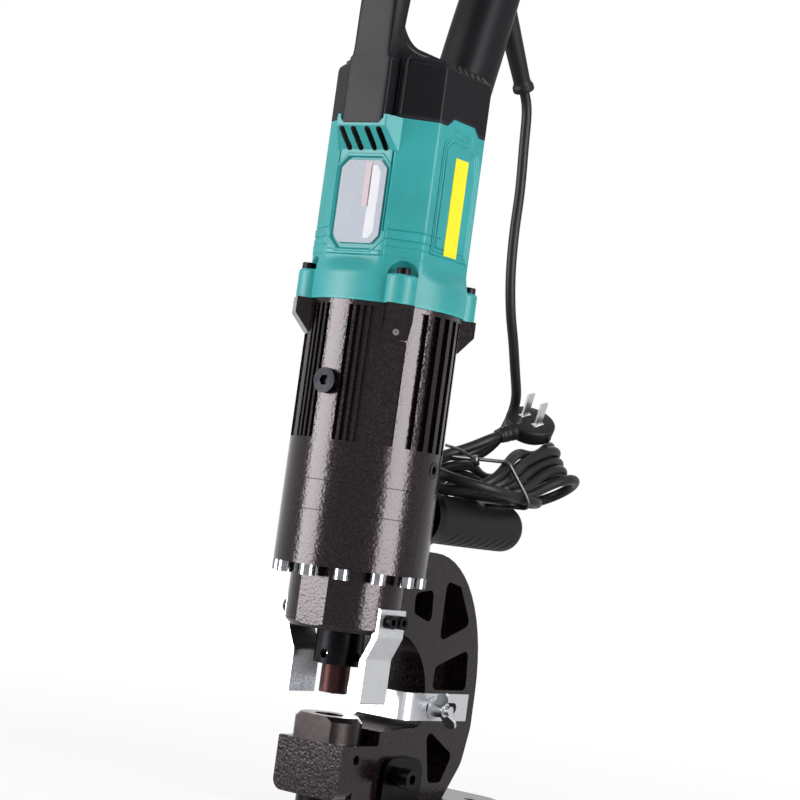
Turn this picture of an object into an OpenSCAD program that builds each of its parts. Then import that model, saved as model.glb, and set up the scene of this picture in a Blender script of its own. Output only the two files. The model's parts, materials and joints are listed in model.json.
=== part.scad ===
// Portable electro-hydraulic hole punch, in millimetres, +Z up.
// The punch axis is Z, the open jaw faces -Y, and the origin lies under the base on that axis.

/* [Base] */
// Thickness of the base plate
base_t = 12; // [9:0.5:16]
// Half width of the wide rear part of the base plate
base_half_w = 48; // [42:1:60]
// Front edge of the base plate's wide part, behind the punch axis
base_front = 43; // [38:1:60]
// Rear edge of the base plate, behind the punch axis
base_back = 152; // [142:1:180]
// Corner radius of the base plate's wide part
base_corner = 25; // [8:1:35]
// Radius of the round foot under the jaw
foot_r = 14; // [13:0.5:20]
// Diameter of the bolt-down holes
base_hole_d = 7; // [5:0.5:9]
// Sideways distance of a bolt-down hole from the middle
base_hole_x = 33; // [26:1:36]
// Distance of the bolt-down holes from the rear edge
base_hole_in = 30; // [20:1:40]
// Thickness of an upright ear beside the frame
ear_t = 4; // [3:0.5:6]
// Height of an ear above the base plate
ear_h = 27; // [24:0.5:34]

/* [Frame] */
// Half thickness of the C-frame casting
frame_half = 24.8; // [23:0.2:28]
// Front face of the jaw, ahead of the punch axis
jaw_front = 16; // [15:0.5:20]
// Height of the jaw under the die
jaw_h = 34; // [30:1:40]
// Rise of the casting behind the die, above the jaw
limb_rise = 9; // [6:0.5:12]
// Inner wall of the throat, behind the punch axis
throat_depth = 66; // [62:0.5:72]
// Height of the throat, from the die's top to the neck
throat_h = 53; // [50:1:60]
// Rear edge of the spine, behind the punch axis
spine_back = 124.5; // [122:0.5:140]
// Half thickness of the webs left between the casting's side pockets
web_half = 7; // [5:0.5:10]
// Radius of the neck that holds the ram guide
neck_r = 36; // [34.5:0.5:38]
// Height of the neck, from its lower end to the flange
neck_h = 38; // [36:1:46]
// Height of the bevel round the neck's lower end
neck_bevel = 3; // [2:0.5:5]
// Depth of the flat at the front of the neck
neck_flat = 1.5; // [1:0.25:2]
// Thickness of the flange that carries the cylinder
flange_h = 25; // [22:1:32]

/* [Tooling] */
// Radius of the die's head
die_r = 21; // [19:0.5:23]
// Height of the die's head above the jaw
die_h = 16; // [13:0.5:20]
// Diameter of the punched hole
punch_d = 17.8; // [10:0.1:20]
// Gap all round between the punch and the die
die_gap = 0.45; // [0.2:0.05:0.6]
// Radius of the die's spigot in the jaw
spigot_r = 15; // [14:0.5:17]
// Depth of the die's spigot
spigot_h = 18; // [15:0.5:22]
// Travel of the ram
stroke = 18; // [16:0.5:20]
// Distance from the punch tip to the die's top with the ram up
tip_gap = 13.6; // [12:0.1:15]
// Height of the punch that shows below its nut
punch_show = 17.8; // [15:0.2:20]
// Outer radius of the punch nut
nut_r = 15; // [14:0.5:17]
// Radius of the ram's rod
rod_r = 13; // [12:0.5:14]
// Thickness of a stripper arm
arm_t = 4.5; // [3.5:0.25:5.5]
// Width of a stripper arm
arm_w = 27; // [24:1:32]
// Distance that a stripper arm's foot is set in from its top
arm_joggle = 6.5; // [5:0.5:8]

/* [Gauge] */
// Height of the back gauge strip
gauge_h = 17.5; // [15:0.5:20]
// Thickness of the back gauge strip
gauge_t = 2.5; // [2:0.25:3]
// Front face of the gauge's stop, behind the punch axis
gauge_stop = 42; // [40:0.5:46]
// Rear end of the gauge's side leg
gauge_end = 113; // [112:0.5:118]
// Distance of the stop's free end past the middle
gauge_reach = 20; // [14:1:23]
// Place of the gauge's clamping stud, behind the punch axis
stud_y = 73.5; // [73:0.5:78]
// Forward travel of the gauge
gauge_forward = 23; // [14:0.5:23]
// Rearward travel of the gauge
gauge_back = 5; // [3:0.5:8]
// Wing span of the wing nut
wing_span = 27; // [22:1:30]

/* [Hydraulics] */
// Outer radius of the cylinder
cyl_r = 48; // [47:0.5:52]
// Radius of the cylinder's bore
bore_r = 36; // [34:0.5:37]
// Height of the cylinder
cyl_h = 52; // [50:1:60]
// Thickness of the cylinder's closed end
cyl_end_t = 8; // [7:0.5:12]
// Height of the piston
piston_h = 20; // [16:0.5:20]
// Number of frame bolts
frame_bolts_n = 12; // [8:1:12]
// Radius of the frame bolts' circle
bolt_ring_r = 43.4; // [43:0.1:43.6]
// Height of the ribbed pump housing
pump_h = 86; // [82:1:96]
// Wall of the pump housing under its ribs
pump_wall = 4.5; // [4:0.5:6]
// Depth of the grooves between the ribs
groove_d = 3.4; // [2:0.2:4]
// Width of one groove
groove_w = 2.7; // [1.8:0.1:3]
// Width of the grooves between the ribs at the sides
side_groove_w = 5.6; // [4:0.2:6.4]
// Depth of the flat panels under the lugs
panel_d = 1.2; // [0.8:0.2:2]
// Reach of the housing lugs from the axis
lug_reach = 57; // [55.5:0.5:60]
// Height of the oil filler plug above the cylinder
filler_up = 35; // [30:1:44]
// Height of the pump block
block_h = 30; // [28:1:36]
// Throw of the eccentric
throw = 2; // [1:0.25:2.5]
// Radius of a pump plunger
plunger_r = 4; // [3:0.25:5]

/* [Motor] */
// Height of the motor housing
motor_h = 113.5; // [112:0.5:124]
// Half width of the motor housing
motor_half_x = 42; // [41.5:0.5:46]
// Half depth of the motor housing
motor_half_y = 42; // [41:0.5:45]
// Wall round the motor's bore
motor_bore_r = 38; // [37:0.5:39]
// Height of the motor housing's flange
motor_flange_h = 20; // [16:1:26]
// Radius of the armature's core
armature_r = 22; // [19:0.5:24]
// Air gap between the armature and the stator
air_gap = 0.8; // [0.5:0.1:1.5]
// Radius of the armature's shaft
shaft_r = 5; // [4:0.25:6]
// Radius of the cooling fan
fan_r = 35; // [30:0.5:36]
// Number of fan blades
fan_blades = 14; // [8:1:18]

/* [Handle] */
// Height of the black rear cap
cap_h = 34.5; // [32:0.5:40]
// Wall of the handle shells
shell_t = 3; // [2:0.25:3.5]
// Height of the hand opening
hand_h = 105; // [100:1:115]
// Thickness of the bar across the top
top_bar_t = 26; // [24:1:30]
// Half width of the grip
grip_half_w = 17.5; // [16:0.5:19]
// Half depth of the grip
grip_half_d = 20; // [19:0.5:22]
// Half width of the front strap
strap_half_w = 14.3; // [12:0.5:16]
// Travel of the trigger
trigger_travel = 6; // [4:0.5:7]
// Travel of the lock button
button_travel = 3; // [2:0.5:4]

/* [Side handle] */
// Height of the side handle's axis above the cylinder's foot
side_up = 13; // [12:0.5:16]
// Radius of the side grip
side_r = 16; // [14:0.5:17]
// Radius of the side handle's collar
collar_r = 19.5; // [18:0.5:20]
// Length of the side grip past its collar
side_len = 105; // [105:1:120]

/* [Cord] */
// Diameter of the cord
cord_d = 7; // [6:0.2:8]
// Number of sides of the swept cord
cord_sides = 10; // [8:1:12]

/* [Hidden] */
$fn = 64;

teal = "#3d9997";
black_plastic = "#2c2c30";
brown_enamel = "#3a2826";
black_oxide = "#2a2a2c";
zinc = "#c9cccf";
steel = "#9a9da1";

slide_fit = 0.06;   // radial clearance of a running or sliding fit
seat_fit = 0.05;    // clearance where one still piece seats in another
hole_fit = 0.2;     // radial clearance of a bolt in its hole
cut = 1;            // how far a cutting body runs past the face that it cuts

// The stack up the punch axis.
jaw_top = base_t + jaw_h;
die_top = jaw_top + die_h;
neck_bottom = die_top + throat_h;
flange_bottom = neck_bottom + neck_h;
cyl_bottom = flange_bottom + flange_h;
cyl_top = cyl_bottom + cyl_h;
pump_top = cyl_top + pump_h;
motor_top = pump_top + motor_h;
cap_top = motor_top + cap_h;

// ---- shapes that several sub-parts share ----
function unit(v) = v / norm(v);
function corner_arc(a, b, c, r, n) =
  let (u = unit(a - b), v = unit(c - b), half = acos(u * v) / 2,
       o = b + unit(u + v) * r / sin(half), p = b + u * r / tan(half), q = b + v * r / tan(half),
       from = atan2(p.y - o.y, p.x - o.x), to = atan2(q.y - o.y, q.x - o.x),
       turn = (to - from + 540) % 360 - 180)
  r == 0 ? [b] : [for (i = [0:n]) o + r * [cos(from + turn * i / n), sin(from + turn * i / n)]];
// An outline with its corners rounded, by one radius or by a list of them.
function rounded(p, r, n = 5) =
  [for (i = [0:len(p) - 1])
     each corner_arc(p[(i + len(p) - 1) % len(p)], p[i], p[(i + 1) % len(p)],
                     is_list(r) ? r[i] : r, n)];
function box_outline(x0, x1, y0, y1) = [[x0, y0], [x1, y0], [x1, y1], [x0, y1]];

// Places children at an angle round the axis, counted from the front towards the right.
module around(angle, r) { rotate([0, 0, angle]) translate([0, -r, 0]) children(); }
// Extrudes a (Y, Z) outline from x0 to x1.
module side_on(x0, x1) {
  translate([x0, 0, 0]) rotate([90, 0, 90]) linear_extrude(x1 - x0) children();
}
// Extrudes an (X, Z) outline from y0 to y1.
module front_on(y0, y1) {
  translate([0, y1, 0]) rotate([90, 0, 0]) linear_extrude(y1 - y0) children();
}
module tube(r, bore, h) {
  difference() {
    cylinder(r = r, h = h);
    translate([0, 0, -cut]) cylinder(r = bore, h = h + 2 * cut);
  }
}
// A socket-head cap screw: its head stands on z = 0 and its shank runs down.
module cap_screw(d, length, head_d, head_h, socket) {
  difference() {
    union() {
      cylinder(d = head_d, h = head_h);
      translate([0, 0, -length]) cylinder(d = d, h = length);
    }
    translate([0, 0, head_h * 0.45]) cylinder(d = socket, h = head_h, $fn = 6);
  }
}

function tangent(p, i) = unit(p[min(i + 1, len(p) - 1)] - p[max(i - 1, 0)]);
function ring_at(c, t, up, r, n) =
  let (u = unit(cross(t, up)), v = cross(t, u))
  [for (k = [0:n - 1]) c + r * cos(360 * k / n) * u + r * sin(360 * k / n) * v];
function skin_faces(rings, n) =
  concat([[for (k = [0:n - 1]) k]],
         [for (i = [0:rings - 2], k = [0:n - 1]) let (a = i * n + k, b = i * n + (k + 1) % n)
            each [[b, a, a + n], [b, a + n, b + n]]],
         [[for (k = [n - 1:-1:0]) (rings - 1) * n + k]]);
// Sweeps a round section along points; up is a direction that the path never takes.
module sweep(points, r, n, up) {
  polyhedron(points = [for (i = [0:len(points) - 1])
                         each ring_at(points[i], tangent(points, i), up, r, n)],
             faces = skin_faces(len(points), n), convexity = 10);
}
// A coil spring on the Z axis from z = 0 to z = h, measured over its wire.
module coil_spring(r, wire_r, h, turns, n, per_turn) {
  rise = h - 2 * wire_r;
  steps = turns * per_turn;
  sweep([for (i = [0:steps]) let (a = 360 * i / per_turn)
           [r * cos(a), r * sin(a), wire_r + rise * i / steps]],
        wire_r, n, [0, 0, 1]);
}

// ---- base ----
ear_gap = 0.3;
ear_x = frame_half + ear_gap;
ear_front = 26;
ear_back = 68;
base_screw_y = 37;
base_screw_z = base_t + 16;
base_screw_d = 8;
sleeve_h = 6;
slug_r = punch_d / 2 + 1.5;
module base_plate() {
  wide = rounded(box_outline(-base_half_w, base_half_w, base_front, base_back), base_corner, 8);
  color(black_oxide) difference() {
    union() {
      linear_extrude(base_t) polygon(wide);
      cylinder(r = foot_r, h = base_t);
      translate([-foot_r, 0, 0]) cube([2 * foot_r, base_front + base_corner, base_t]);
    }
    for (side = [-1, 1]) translate([side * base_hole_x, base_back - base_hole_in, -cut])
      cylinder(d = base_hole_d, h = base_t + 2 * cut);
    translate([0, 0, -cut]) cylinder(r = slug_r + 1, h = base_t + 2 * cut);
  }
}
module base_brackets() {
  ear = rounded([[ear_front, base_t], [ear_back, base_t], [ear_back, base_t + ear_h],
                 [ear_front, base_t + ear_h]], [0, 0, 10, 10], 8);
  color(black_oxide) for (side = [-1, 1]) difference() {
    side_on(side > 0 ? ear_x : -ear_x - ear_t, side > 0 ? ear_x + ear_t : -ear_x) polygon(ear);
    translate([side * (ear_x - cut), base_screw_y, base_screw_z]) rotate([0, side * 90, 0])
      cylinder(d = base_screw_d + 2 * hole_fit, h = ear_t + 2 * cut);
  }
}
module base_screws() {
  color(black_oxide) for (side = [-1, 1])
    translate([side * (ear_x + ear_t), base_screw_y, base_screw_z]) rotate([0, side * 90, 0]) {
      tube(6, base_screw_d / 2 + seat_fit, sleeve_h);
      translate([0, 0, sleeve_h]) cap_screw(base_screw_d, sleeve_h + ear_t + ear_gap + 12, 13, 8, 6.9);
    }
}

// ---- C-frame ----
limb_top = jaw_top + limb_rise;
die_pocket_back = 21.5;
frame_top = cyl_bottom - 8.5;
spine_mid = [56, 80];
spine_power = 2.1;
arch_mid = [20, 74];
bush_r = 17;
bush_h = 20;
spring_pocket_r = 24;
arm_x = neck_r - 4;
arm_y0 = -12;
arm_top = neck_bottom + 17;
arm_screw_z = neck_bottom + 9.5;
arm_screw_y = 1.5;
arm_screw_pitch = 11.5;
arm_screw_d = 5;
set_screw_d = 6;
set_screw_z = jaw_top - 8.6;
stud_z = die_top + gauge_h / 2;
stud_d = 6;
pocket_corner = 4;
pad_up = 5;
pad_h = 11;

// The outer edge of the spine, from its top to the foot, as a rounded quarter and two straights.
function spine_edge(n) =
  [for (i = [0:n]) let (a = 90 - 90 * i / n)
     [spine_mid.x + (spine_back - spine_mid.x) * pow(cos(a), 2 / spine_power),
      spine_mid.y + (frame_top - spine_mid.y) * pow(sin(a), 2 / spine_power)]];
// The throat's edge, from the neck over the arch and down to the limb behind the die.
function throat_edge(n) =
  [for (i = [0:n]) let (a = 90 * i / n)
     [arch_mid.x + (throat_depth - arch_mid.x) * sin(a),
      arch_mid.y + (neck_bottom + 3 - arch_mid.y) * cos(a)]];
module frame_outline() {
  polygon(concat([[0, frame_top]], spine_edge(14),
                 corner_arc([spine_back, spine_mid.y], [spine_back, 58], [spine_back - 6, 34], 20, 3),
                 corner_arc([spine_back, 58], [spine_back - 6, 34], [spine_back - 23, base_t], 20, 3),
                 [[spine_back - 23, base_t], [0, base_t], [0, jaw_top], [die_pocket_back, jaw_top],
                  [die_pocket_back, limb_top]],
                 corner_arc([die_pocket_back, limb_top], [throat_depth, limb_top + 3],
                            [throat_depth, arch_mid.y], 8, 5),
                 [for (i = [0:12]) throat_edge(12)[12 - i]], [[0, neck_bottom + 3]]));
}
// The pockets cast into both sides of the spine, as (Y, Z) outlines.
side_pockets = [
  [[throat_depth + 8, frame_top - 17], [throat_depth + 25, frame_top - 20],
   [spine_back - 17, 125], [throat_depth + 8, 113]],
  [[throat_depth + 7, 97], [spine_back - 15, 109], [spine_back - 12, 82], [throat_depth + 7, 82]],
  [[throat_depth + 6, 58], [spine_back - 18, 40], [spine_back - 28, base_t + 10],
   [throat_depth + 16, base_t + 10]],
  [[neck_r + 4, flange_bottom - 10], [throat_depth - 6, flange_bottom - 7],
   [throat_depth - 4, neck_bottom + 9], [neck_r + 5, neck_bottom + 15]]
];
module jaw_block() {
  front_on(-jaw_front, spigot_r)
    polygon(rounded(box_outline(-frame_half, frame_half, base_t, jaw_top), [7, 7, 1.5, 1.5], 6));
}
module neck_body() {
  difference() {
    union() {
      translate([0, 0, neck_bottom]) cylinder(r1 = neck_r - neck_bevel, r2 = neck_r, h = neck_bevel);
      translate([0, 0, neck_bottom + neck_bevel]) cylinder(r = neck_r, h = neck_h - neck_bevel + cut);
    }
    translate([-neck_r, -neck_r - cut, neck_bottom - cut])
      cube([2 * neck_r, neck_flat + cut, neck_h + cut]);
  }
  translate([0, 0, flange_bottom]) cylinder(r = cyl_r, h = flange_h);
  // The pads that the stripper arms are screwed to.
  translate([-arm_x, arm_y0 + 2, neck_bottom + pad_up]) cube([2 * arm_x, arm_w - 4, pad_h]);
}
module c_frame() {
  color(brown_enamel) difference() {
    union() {
      side_on(-frame_half, frame_half) frame_outline();
      jaw_block();
      neck_body();
    }
    for (side = [-1, 1], p = side_pockets)
      side_on(side > 0 ? web_half : -frame_half - cut, side > 0 ? frame_half + cut : -web_half)
        polygon(rounded(p, pocket_corner, 4));
    // Ram guide, spring pocket, and the die's bore with its slug hole.
    translate([0, 0, neck_bottom - cut]) cylinder(r = bush_r + seat_fit, h = bush_h + cut);
    translate([0, 0, neck_bottom + bush_h - 0.01])
      cylinder(r = spring_pocket_r, h = cyl_bottom - neck_bottom - bush_h + cut);
    translate([0, 0, jaw_top - spigot_h - seat_fit]) cylinder(r = spigot_r + seat_fit, h = spigot_h + cut);
    translate([0, 0, base_t - cut]) cylinder(r = slug_r, h = jaw_h);
    // Seats of the stripper arms on the neck.
    for (side = [-1, 1])
      translate([side > 0 ? arm_x : -arm_x - 10, arm_y0 - seat_fit, neck_bottom - cut])
        cube([10, arm_w + 2 * seat_fit, arm_top - neck_bottom + cut + seat_fit]);
    for (side = [-1, 1], y = [-1, 1])
      translate([side * (arm_x + cut), arm_screw_y + y * arm_screw_pitch / 2, arm_screw_z])
        rotate([0, side * -90, 0]) cylinder(d = arm_screw_d + 2 * seat_fit, h = 10);
    // Holes of the set screw, the gauge stud, the base screws and the frame bolts.
    translate([spigot_r - cut, 0, set_screw_z]) rotate([0, 90, 0])
      cylinder(d = set_screw_d + 2 * seat_fit, h = frame_half);
    translate([web_half + 3, stud_y, stud_z]) rotate([0, 90, 0])
      cylinder(d = stud_d + 2 * seat_fit, h = frame_half);
    for (side = [-1, 1]) translate([side * (frame_half - 12.5), base_screw_y, base_screw_z])
      rotate([0, side * 90, 0]) cylinder(d = base_screw_d + 2 * seat_fit, h = 13.5);
    for (a = bolt_angles) around(a, bolt_ring_r) translate([0, 0, flange_bottom - cut])
      cylinder(d = frame_bolt_d + 2 * seat_fit, h = flange_h + 2 * cut);
  }
}
frame_bolt_d = 6;
frame_bolt_in = 12;
// The bolts go round the flange, except where the spine is in the way.
bolt_angles = [for (i = [0:frame_bolts_n - 1]) let (a = i * 360 / frame_bolts_n)
                 if (min(a, 360 - a) < 130) a];
module frame_bolts() {
  color(zinc) for (a = bolt_angles) around(a, bolt_ring_r)
    translate([0, 0, flange_bottom]) mirror([0, 0, 1])
      cap_screw(frame_bolt_d, flange_h + frame_bolt_in, 10, 6.5, 5.8);
}

// ---- die, punch and stripper ----
module die() {
  hole = punch_d / 2 + die_gap;
  chamfer = 3;
  land = 8;
  color(black_oxide) difference() {
    intersection() {
      union() {
        translate([0, 0, jaw_top]) cylinder(r = die_r, h = die_h - chamfer);
        translate([0, 0, die_top - chamfer]) cylinder(r1 = die_r, r2 = die_r - chamfer, h = chamfer);
        translate([0, 0, jaw_top - spigot_h]) cylinder(r = spigot_r, h = spigot_h + cut);
      }
      translate([-die_r - cut, -jaw_front, 0])
        cube([2 * (die_r + cut), jaw_front + die_r + cut, die_top + cut]);
    }
    translate([0, 0, die_top - land]) cylinder(r = hole, h = land + cut);
    translate([0, 0, jaw_top - spigot_h - cut])
      cylinder(r = hole + 1, h = spigot_h + die_h - land + 2 * cut);
  }
}
module die_set_screw() {
  length = frame_half - spigot_r - 2;
  color(black_oxide) translate([spigot_r + 0.3, 0, set_screw_z]) rotate([0, 90, 0]) difference() {
    cylinder(d = set_screw_d, h = length);
    translate([0, 0, length - 3]) cylinder(d = 3.5, h = 3 + cut, $fn = 6);
  }
}
arm_bend_top = neck_bottom - 0.5;
arm_bend_low = arm_bend_top - 14;
arm_bottom = die_top + 10.5;
module stripper_arm(side) {
  outer = arm_x + arm_t;
  foot = arm_x - arm_joggle;
  path = [[outer, arm_top], [outer, arm_bend_top], [outer - arm_joggle, arm_bend_low],
          [outer - arm_joggle, arm_bottom], [foot, arm_bottom], [foot, arm_bend_low - 1.5],
          [arm_x, arm_bend_top - 1.5], [arm_x, arm_top]];
  mirror([side < 0 ? 1 : 0, 0, 0]) color(zinc) difference() {
    front_on(arm_y0, arm_y0 + arm_w) polygon(rounded(path, [1, 5, 5, 1, 0, 5, 5, 0], 4));
    for (y = [-1, 1]) translate([arm_x - cut, arm_screw_y + y * arm_screw_pitch / 2, arm_screw_z])
      rotate([0, 90, 0]) cylinder(d = arm_screw_d + 2 * hole_fit, h = arm_t + 2 * cut);
  }
}
module stripper_left() { stripper_arm(-1); }
module stripper_right() { stripper_arm(1); }
module stripper_screws() {
  color(black_oxide) for (side = [-1, 1], y = [-1, 1])
    translate([side * (arm_x + arm_t), arm_screw_y + y * arm_screw_pitch / 2, arm_screw_z])
      rotate([0, side * 90, 0]) cap_screw(arm_screw_d, arm_t + 8, 8.5, 5, 4.6);
}
module guide_bush() {
  color("#a8834b") translate([0, 0, neck_bottom]) tube(bush_r, rod_r + slide_fit, bush_h);
}

tip_z = die_top + tip_gap;
nut_bottom = tip_z + punch_show;
nut_top = neck_bottom - 1;
nut_lip = 2;
punch_head_r = punch_d / 2 + 2.2;
punch_head_h = 4;
nut_bore_r = punch_head_r + 0.3;
rod_foot = nut_bottom + nut_lip + punch_head_h;
piston_top = cyl_top - cyl_end_t - 1.5;
piston_bottom = piston_top - piston_h;
seal_down = 11;
seal_in = 4;
seal_h = 6;
module punch() {
  color("#6d302a") {
    translate([0, 0, tip_z]) cylinder(d = punch_d, h = punch_show + nut_lip);
    translate([0, 0, nut_bottom + nut_lip]) cylinder(r = punch_head_r, h = punch_head_h);
    translate([0, 0, tip_z - 1]) cylinder(d1 = 1, d2 = 3, h = 1);
  }
}
module punch_nut() {
  color(black_oxide) translate([0, 0, nut_bottom]) difference() {
    cylinder(r = nut_r, h = nut_top - nut_bottom);
    translate([0, 0, -cut]) cylinder(r = punch_d / 2 + seat_fit, h = nut_lip + 2 * cut);
    translate([0, 0, nut_lip]) cylinder(r = nut_bore_r, h = nut_top - nut_bottom);
    // Holes for a tommy bar.
    for (a = [0:90:270]) around(a, nut_bore_r - 1) translate([0, 0, 6]) rotate([90, 0, 0])
      cylinder(d = 5.5, h = nut_r);
  }
}
module piston_rod() {
  color(steel) difference() {
    union() {
      translate([0, 0, piston_bottom]) cylinder(r = bore_r - slide_fit, h = piston_h);
      translate([0, 0, nut_top]) cylinder(r = rod_r, h = piston_bottom - nut_top + cut);
      translate([0, 0, rod_foot]) cylinder(r = nut_bore_r - seat_fit, h = nut_top - rod_foot + cut);
    }
    translate([0, 0, piston_top - seal_down]) tube(bore_r + cut, bore_r - seal_in, seal_h);
  }
}
module piston_seal() {
  color("#3f6f57") translate([0, 0, piston_top - seal_down + seat_fit])
    tube(bore_r - slide_fit, bore_r - seal_in + seat_fit, seal_h - 2 * seat_fit);
}
spring_r = 18.5;
module return_spring() {
  color(steel) translate([0, 0, neck_bottom + bush_h + 0.3])
    coil_spring(spring_r, 2, piston_bottom - neck_bottom - bush_h - 0.6, 4, 8, 12);
}

// ---- back gauge ----
gauge_x = frame_half + 0.2;
gauge_z = die_top + 0.5;
washer_t = 1.2;
nut_x = gauge_x + gauge_t + 0.15 + washer_t;
module gauge_plate() {
  out = gauge_x + gauge_t;
  outline = rounded([[gauge_x, gauge_end], [out, gauge_end], [out, gauge_stop],
                     [-gauge_reach, gauge_stop], [-gauge_reach, gauge_stop + gauge_t],
                     [gauge_x, gauge_stop + gauge_t]], [0, 0, 8, 0, 0, 5.5], 6);
  slot_r = stud_d / 2 + 0.5;
  corner_r = 5;
  color(zinc) difference() {
    translate([0, 0, gauge_z]) linear_extrude(gauge_h) polygon(outline);
    // The slot runs past the stud by the gauge's travel each way.
    side_on(gauge_x - cut, out + cut) polygon(rounded(
      box_outline(stud_y - gauge_back - slot_r, stud_y + gauge_forward + slot_r,
                  stud_z - slot_r, stud_z + slot_r), slot_r - 0.01, 6));
    // The stop's free lower corner is rounded off.
    translate([-gauge_reach, gauge_stop - cut, gauge_z]) difference() {
      translate([-cut, 0, -cut]) cube([corner_r + cut, gauge_t + 2 * cut, corner_r + cut]);
      translate([corner_r, 0, corner_r]) rotate([-90, 0, 0])
        cylinder(r = corner_r, h = gauge_t + 2 * cut);
    }
  }
}
module gauge_stud() {
  inner = web_half + 3.2;
  color(steel) translate([inner, stud_y, stud_z]) rotate([0, 90, 0])
    cylinder(d = stud_d, h = nut_x + 12 - inner);
}
module gauge_washer() {
  color(zinc) translate([nut_x - washer_t, stud_y, stud_z]) rotate([0, 90, 0])
    tube(7.5, stud_d / 2 + seat_fit, washer_t - 0.1);
}
module wing_nut() {
  color(zinc) translate([nut_x, stud_y, stud_z]) rotate([0, 90, 0]) difference() {
    union() {
      cylinder(r1 = 5.6, r2 = 4.6, h = 8);
      for (turn = [28, 208]) rotate([0, 0, turn]) translate([0, 1.2, 0]) rotate([90, 0, 0])
        translate([0, 0, -1]) linear_extrude(2) polygon(rounded(
          [[3, 1.5], [wing_span / 2, 6], [wing_span / 2, 13], [8, 13], [3, 7]],
          [0.5, 2.5, 2.5, 1.5, 0.5], 4));
    }
    translate([0, 0, -cut]) cylinder(r = stud_d / 2 + slide_fit, h = 10);
  }
}

// ---- cylinder and pump ----
side_z = cyl_bottom + side_up;
side_face = 64;
side_stud_d = 12;
port_z = cyl_top - 10;
port_angle = 100;
port_d = 11;
oil_way_r = 3;
module cylinder_body() {
  color(brown_enamel) difference() {
    union() {
      translate([0, 0, cyl_bottom]) cylinder(r = cyl_r, h = cyl_h);
      translate([0, bore_r + 6, side_z]) rotate([-90, 0, 0])
        cylinder(r = 12.5, h = side_face - bore_r - 6);
    }
    translate([0, 0, cyl_bottom - cut]) cylinder(r = bore_r, h = cyl_h - cyl_end_t + cut);
    translate([0, 0, cyl_top - cyl_end_t - cut]) cylinder(r = oil_way_r, h = cyl_end_t + 2 * cut);
    translate([0, bore_r + 4, side_z]) rotate([-90, 0, 0])
      cylinder(d = side_stud_d + 2 * seat_fit, h = side_face);
    around(port_angle, cyl_r - 8) translate([0, 0, port_z]) rotate([90, 0, 0])
      cylinder(d = port_d + 2 * seat_fit, h = 12);
    for (a = bolt_angles) around(a, bolt_ring_r) translate([0, 0, cyl_bottom - cut])
      cylinder(d = frame_bolt_d + 2 * seat_fit, h = frame_bolt_in + cut + 1);
  }
}
module port_plug() {
  color(black_oxide) around(port_angle, cyl_r - 7.9) translate([0, 0, port_z]) rotate([90, 0, 0])
    difference() {
      cylinder(d = port_d, h = 8);
      translate([0, 0, 4]) cylinder(d = 5.8, h = 5, $fn = 6);
    }
}
pump_in_r = cyl_r - groove_d - pump_wall;
pump_lid_t = 6;
filler_z = cyl_top + filler_up;
filler_d = 15.6;
lug_w = 17;
lug_top_h = 10;
// Angles of the grooves: two groups beside the flats at the front and back, and one on each side.
end_groove_angles = [for (half = [0, 180], side = [-1, 1], i = [0:3]) half + side * (10.5 + 5.6 * i)];
side_groove_angles = [for (half = [90, 270], i = [-2:2]) half + 11.6 * i];
lug_angles = [45:90:315];
lug_foot_h = 21;
module lug() {
  side_on(-lug_w / 2, lug_w / 2)
    polygon([[-cyl_r + 4, -lug_foot_h], [-cyl_r + 0.2, -lug_foot_h], [-lug_reach, -lug_top_h],
             [-lug_reach, 0], [-cyl_r + 4, 0]]);
}
groove_high = 3;
panel_half_w = 8.2;
module groove(a, w) {
  around(a, cyl_r - groove_d) translate([-w / 2, -groove_d - cut, cyl_top - cut])
    cube([w, groove_d + cut, pump_h - groove_high + cut]);
}
module ribbed_drum() {
  difference() {
    translate([0, 0, cyl_top]) cylinder(r = cyl_r, h = pump_h);
    for (a = end_groove_angles) groove(a, groove_w);
    for (a = side_groove_angles) groove(a, side_groove_w);
    // Flat panels from the joint with the cylinder up to the lugs.
    for (a = lug_angles) around(a, cyl_r - panel_d - 0.7)
      translate([-panel_half_w, -panel_d - 2, cyl_top - cut])
        cube([2 * panel_half_w, panel_d + 2, pump_h - lug_foot_h - 1 + cut]);
  }
}
module pump_housing() {
  color(brown_enamel) difference() {
    union() {
      ribbed_drum();
      for (a = lug_angles) translate([0, 0, pump_top]) rotate([0, 0, a]) lug();
      around(0, cyl_r - 3) translate([0, 0, filler_z]) rotate([90, 0, 0]) cylinder(d = filler_d, h = 3.4);
    }
    translate([0, 0, cyl_top - cut]) cylinder(r = pump_in_r, h = pump_h - pump_lid_t + cut);
    translate([0, 0, pump_top - pump_lid_t - cut])
      cylinder(r = seal_r + seat_fit, h = pump_lid_t + 2 * cut);
    around(0, cyl_r - 12) translate([0, 0, filler_z]) rotate([90, 0, 0])
      cylinder(d = filler_shank_d + 2 * seat_fit, h = 20);
    around(45, lug_reach - 12) translate([0, 0, bleed_z]) rotate([90, 0, 0])
      cylinder(d = bleed_d + 2 * seat_fit, h = 14);
    for (a = lug_angles) around(a, lug_screw_r) translate([0, 0, pump_top - 12])
      cylinder(d = lug_screw_d + 2 * seat_fit, h = 13);
  }
}
filler_shank_d = 10;
bleed_d = 4;
bleed_z = pump_top - 17;
lug_screw_d = 5;
lug_screw_r = 51.2;
seal_r = 13;
module oil_filler_plug() {
  color(black_oxide) translate([0, -cyl_r - 0.4, filler_z]) rotate([90, 0, 0]) difference() {
    union() {
      cylinder(d = filler_d, h = 4.6);
      translate([0, 0, -8]) cylinder(d = filler_shank_d, h = 8);
    }
    translate([0, 0, 1.5]) cylinder(d = 6.9, h = 5, $fn = 6);
  }
}
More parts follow.
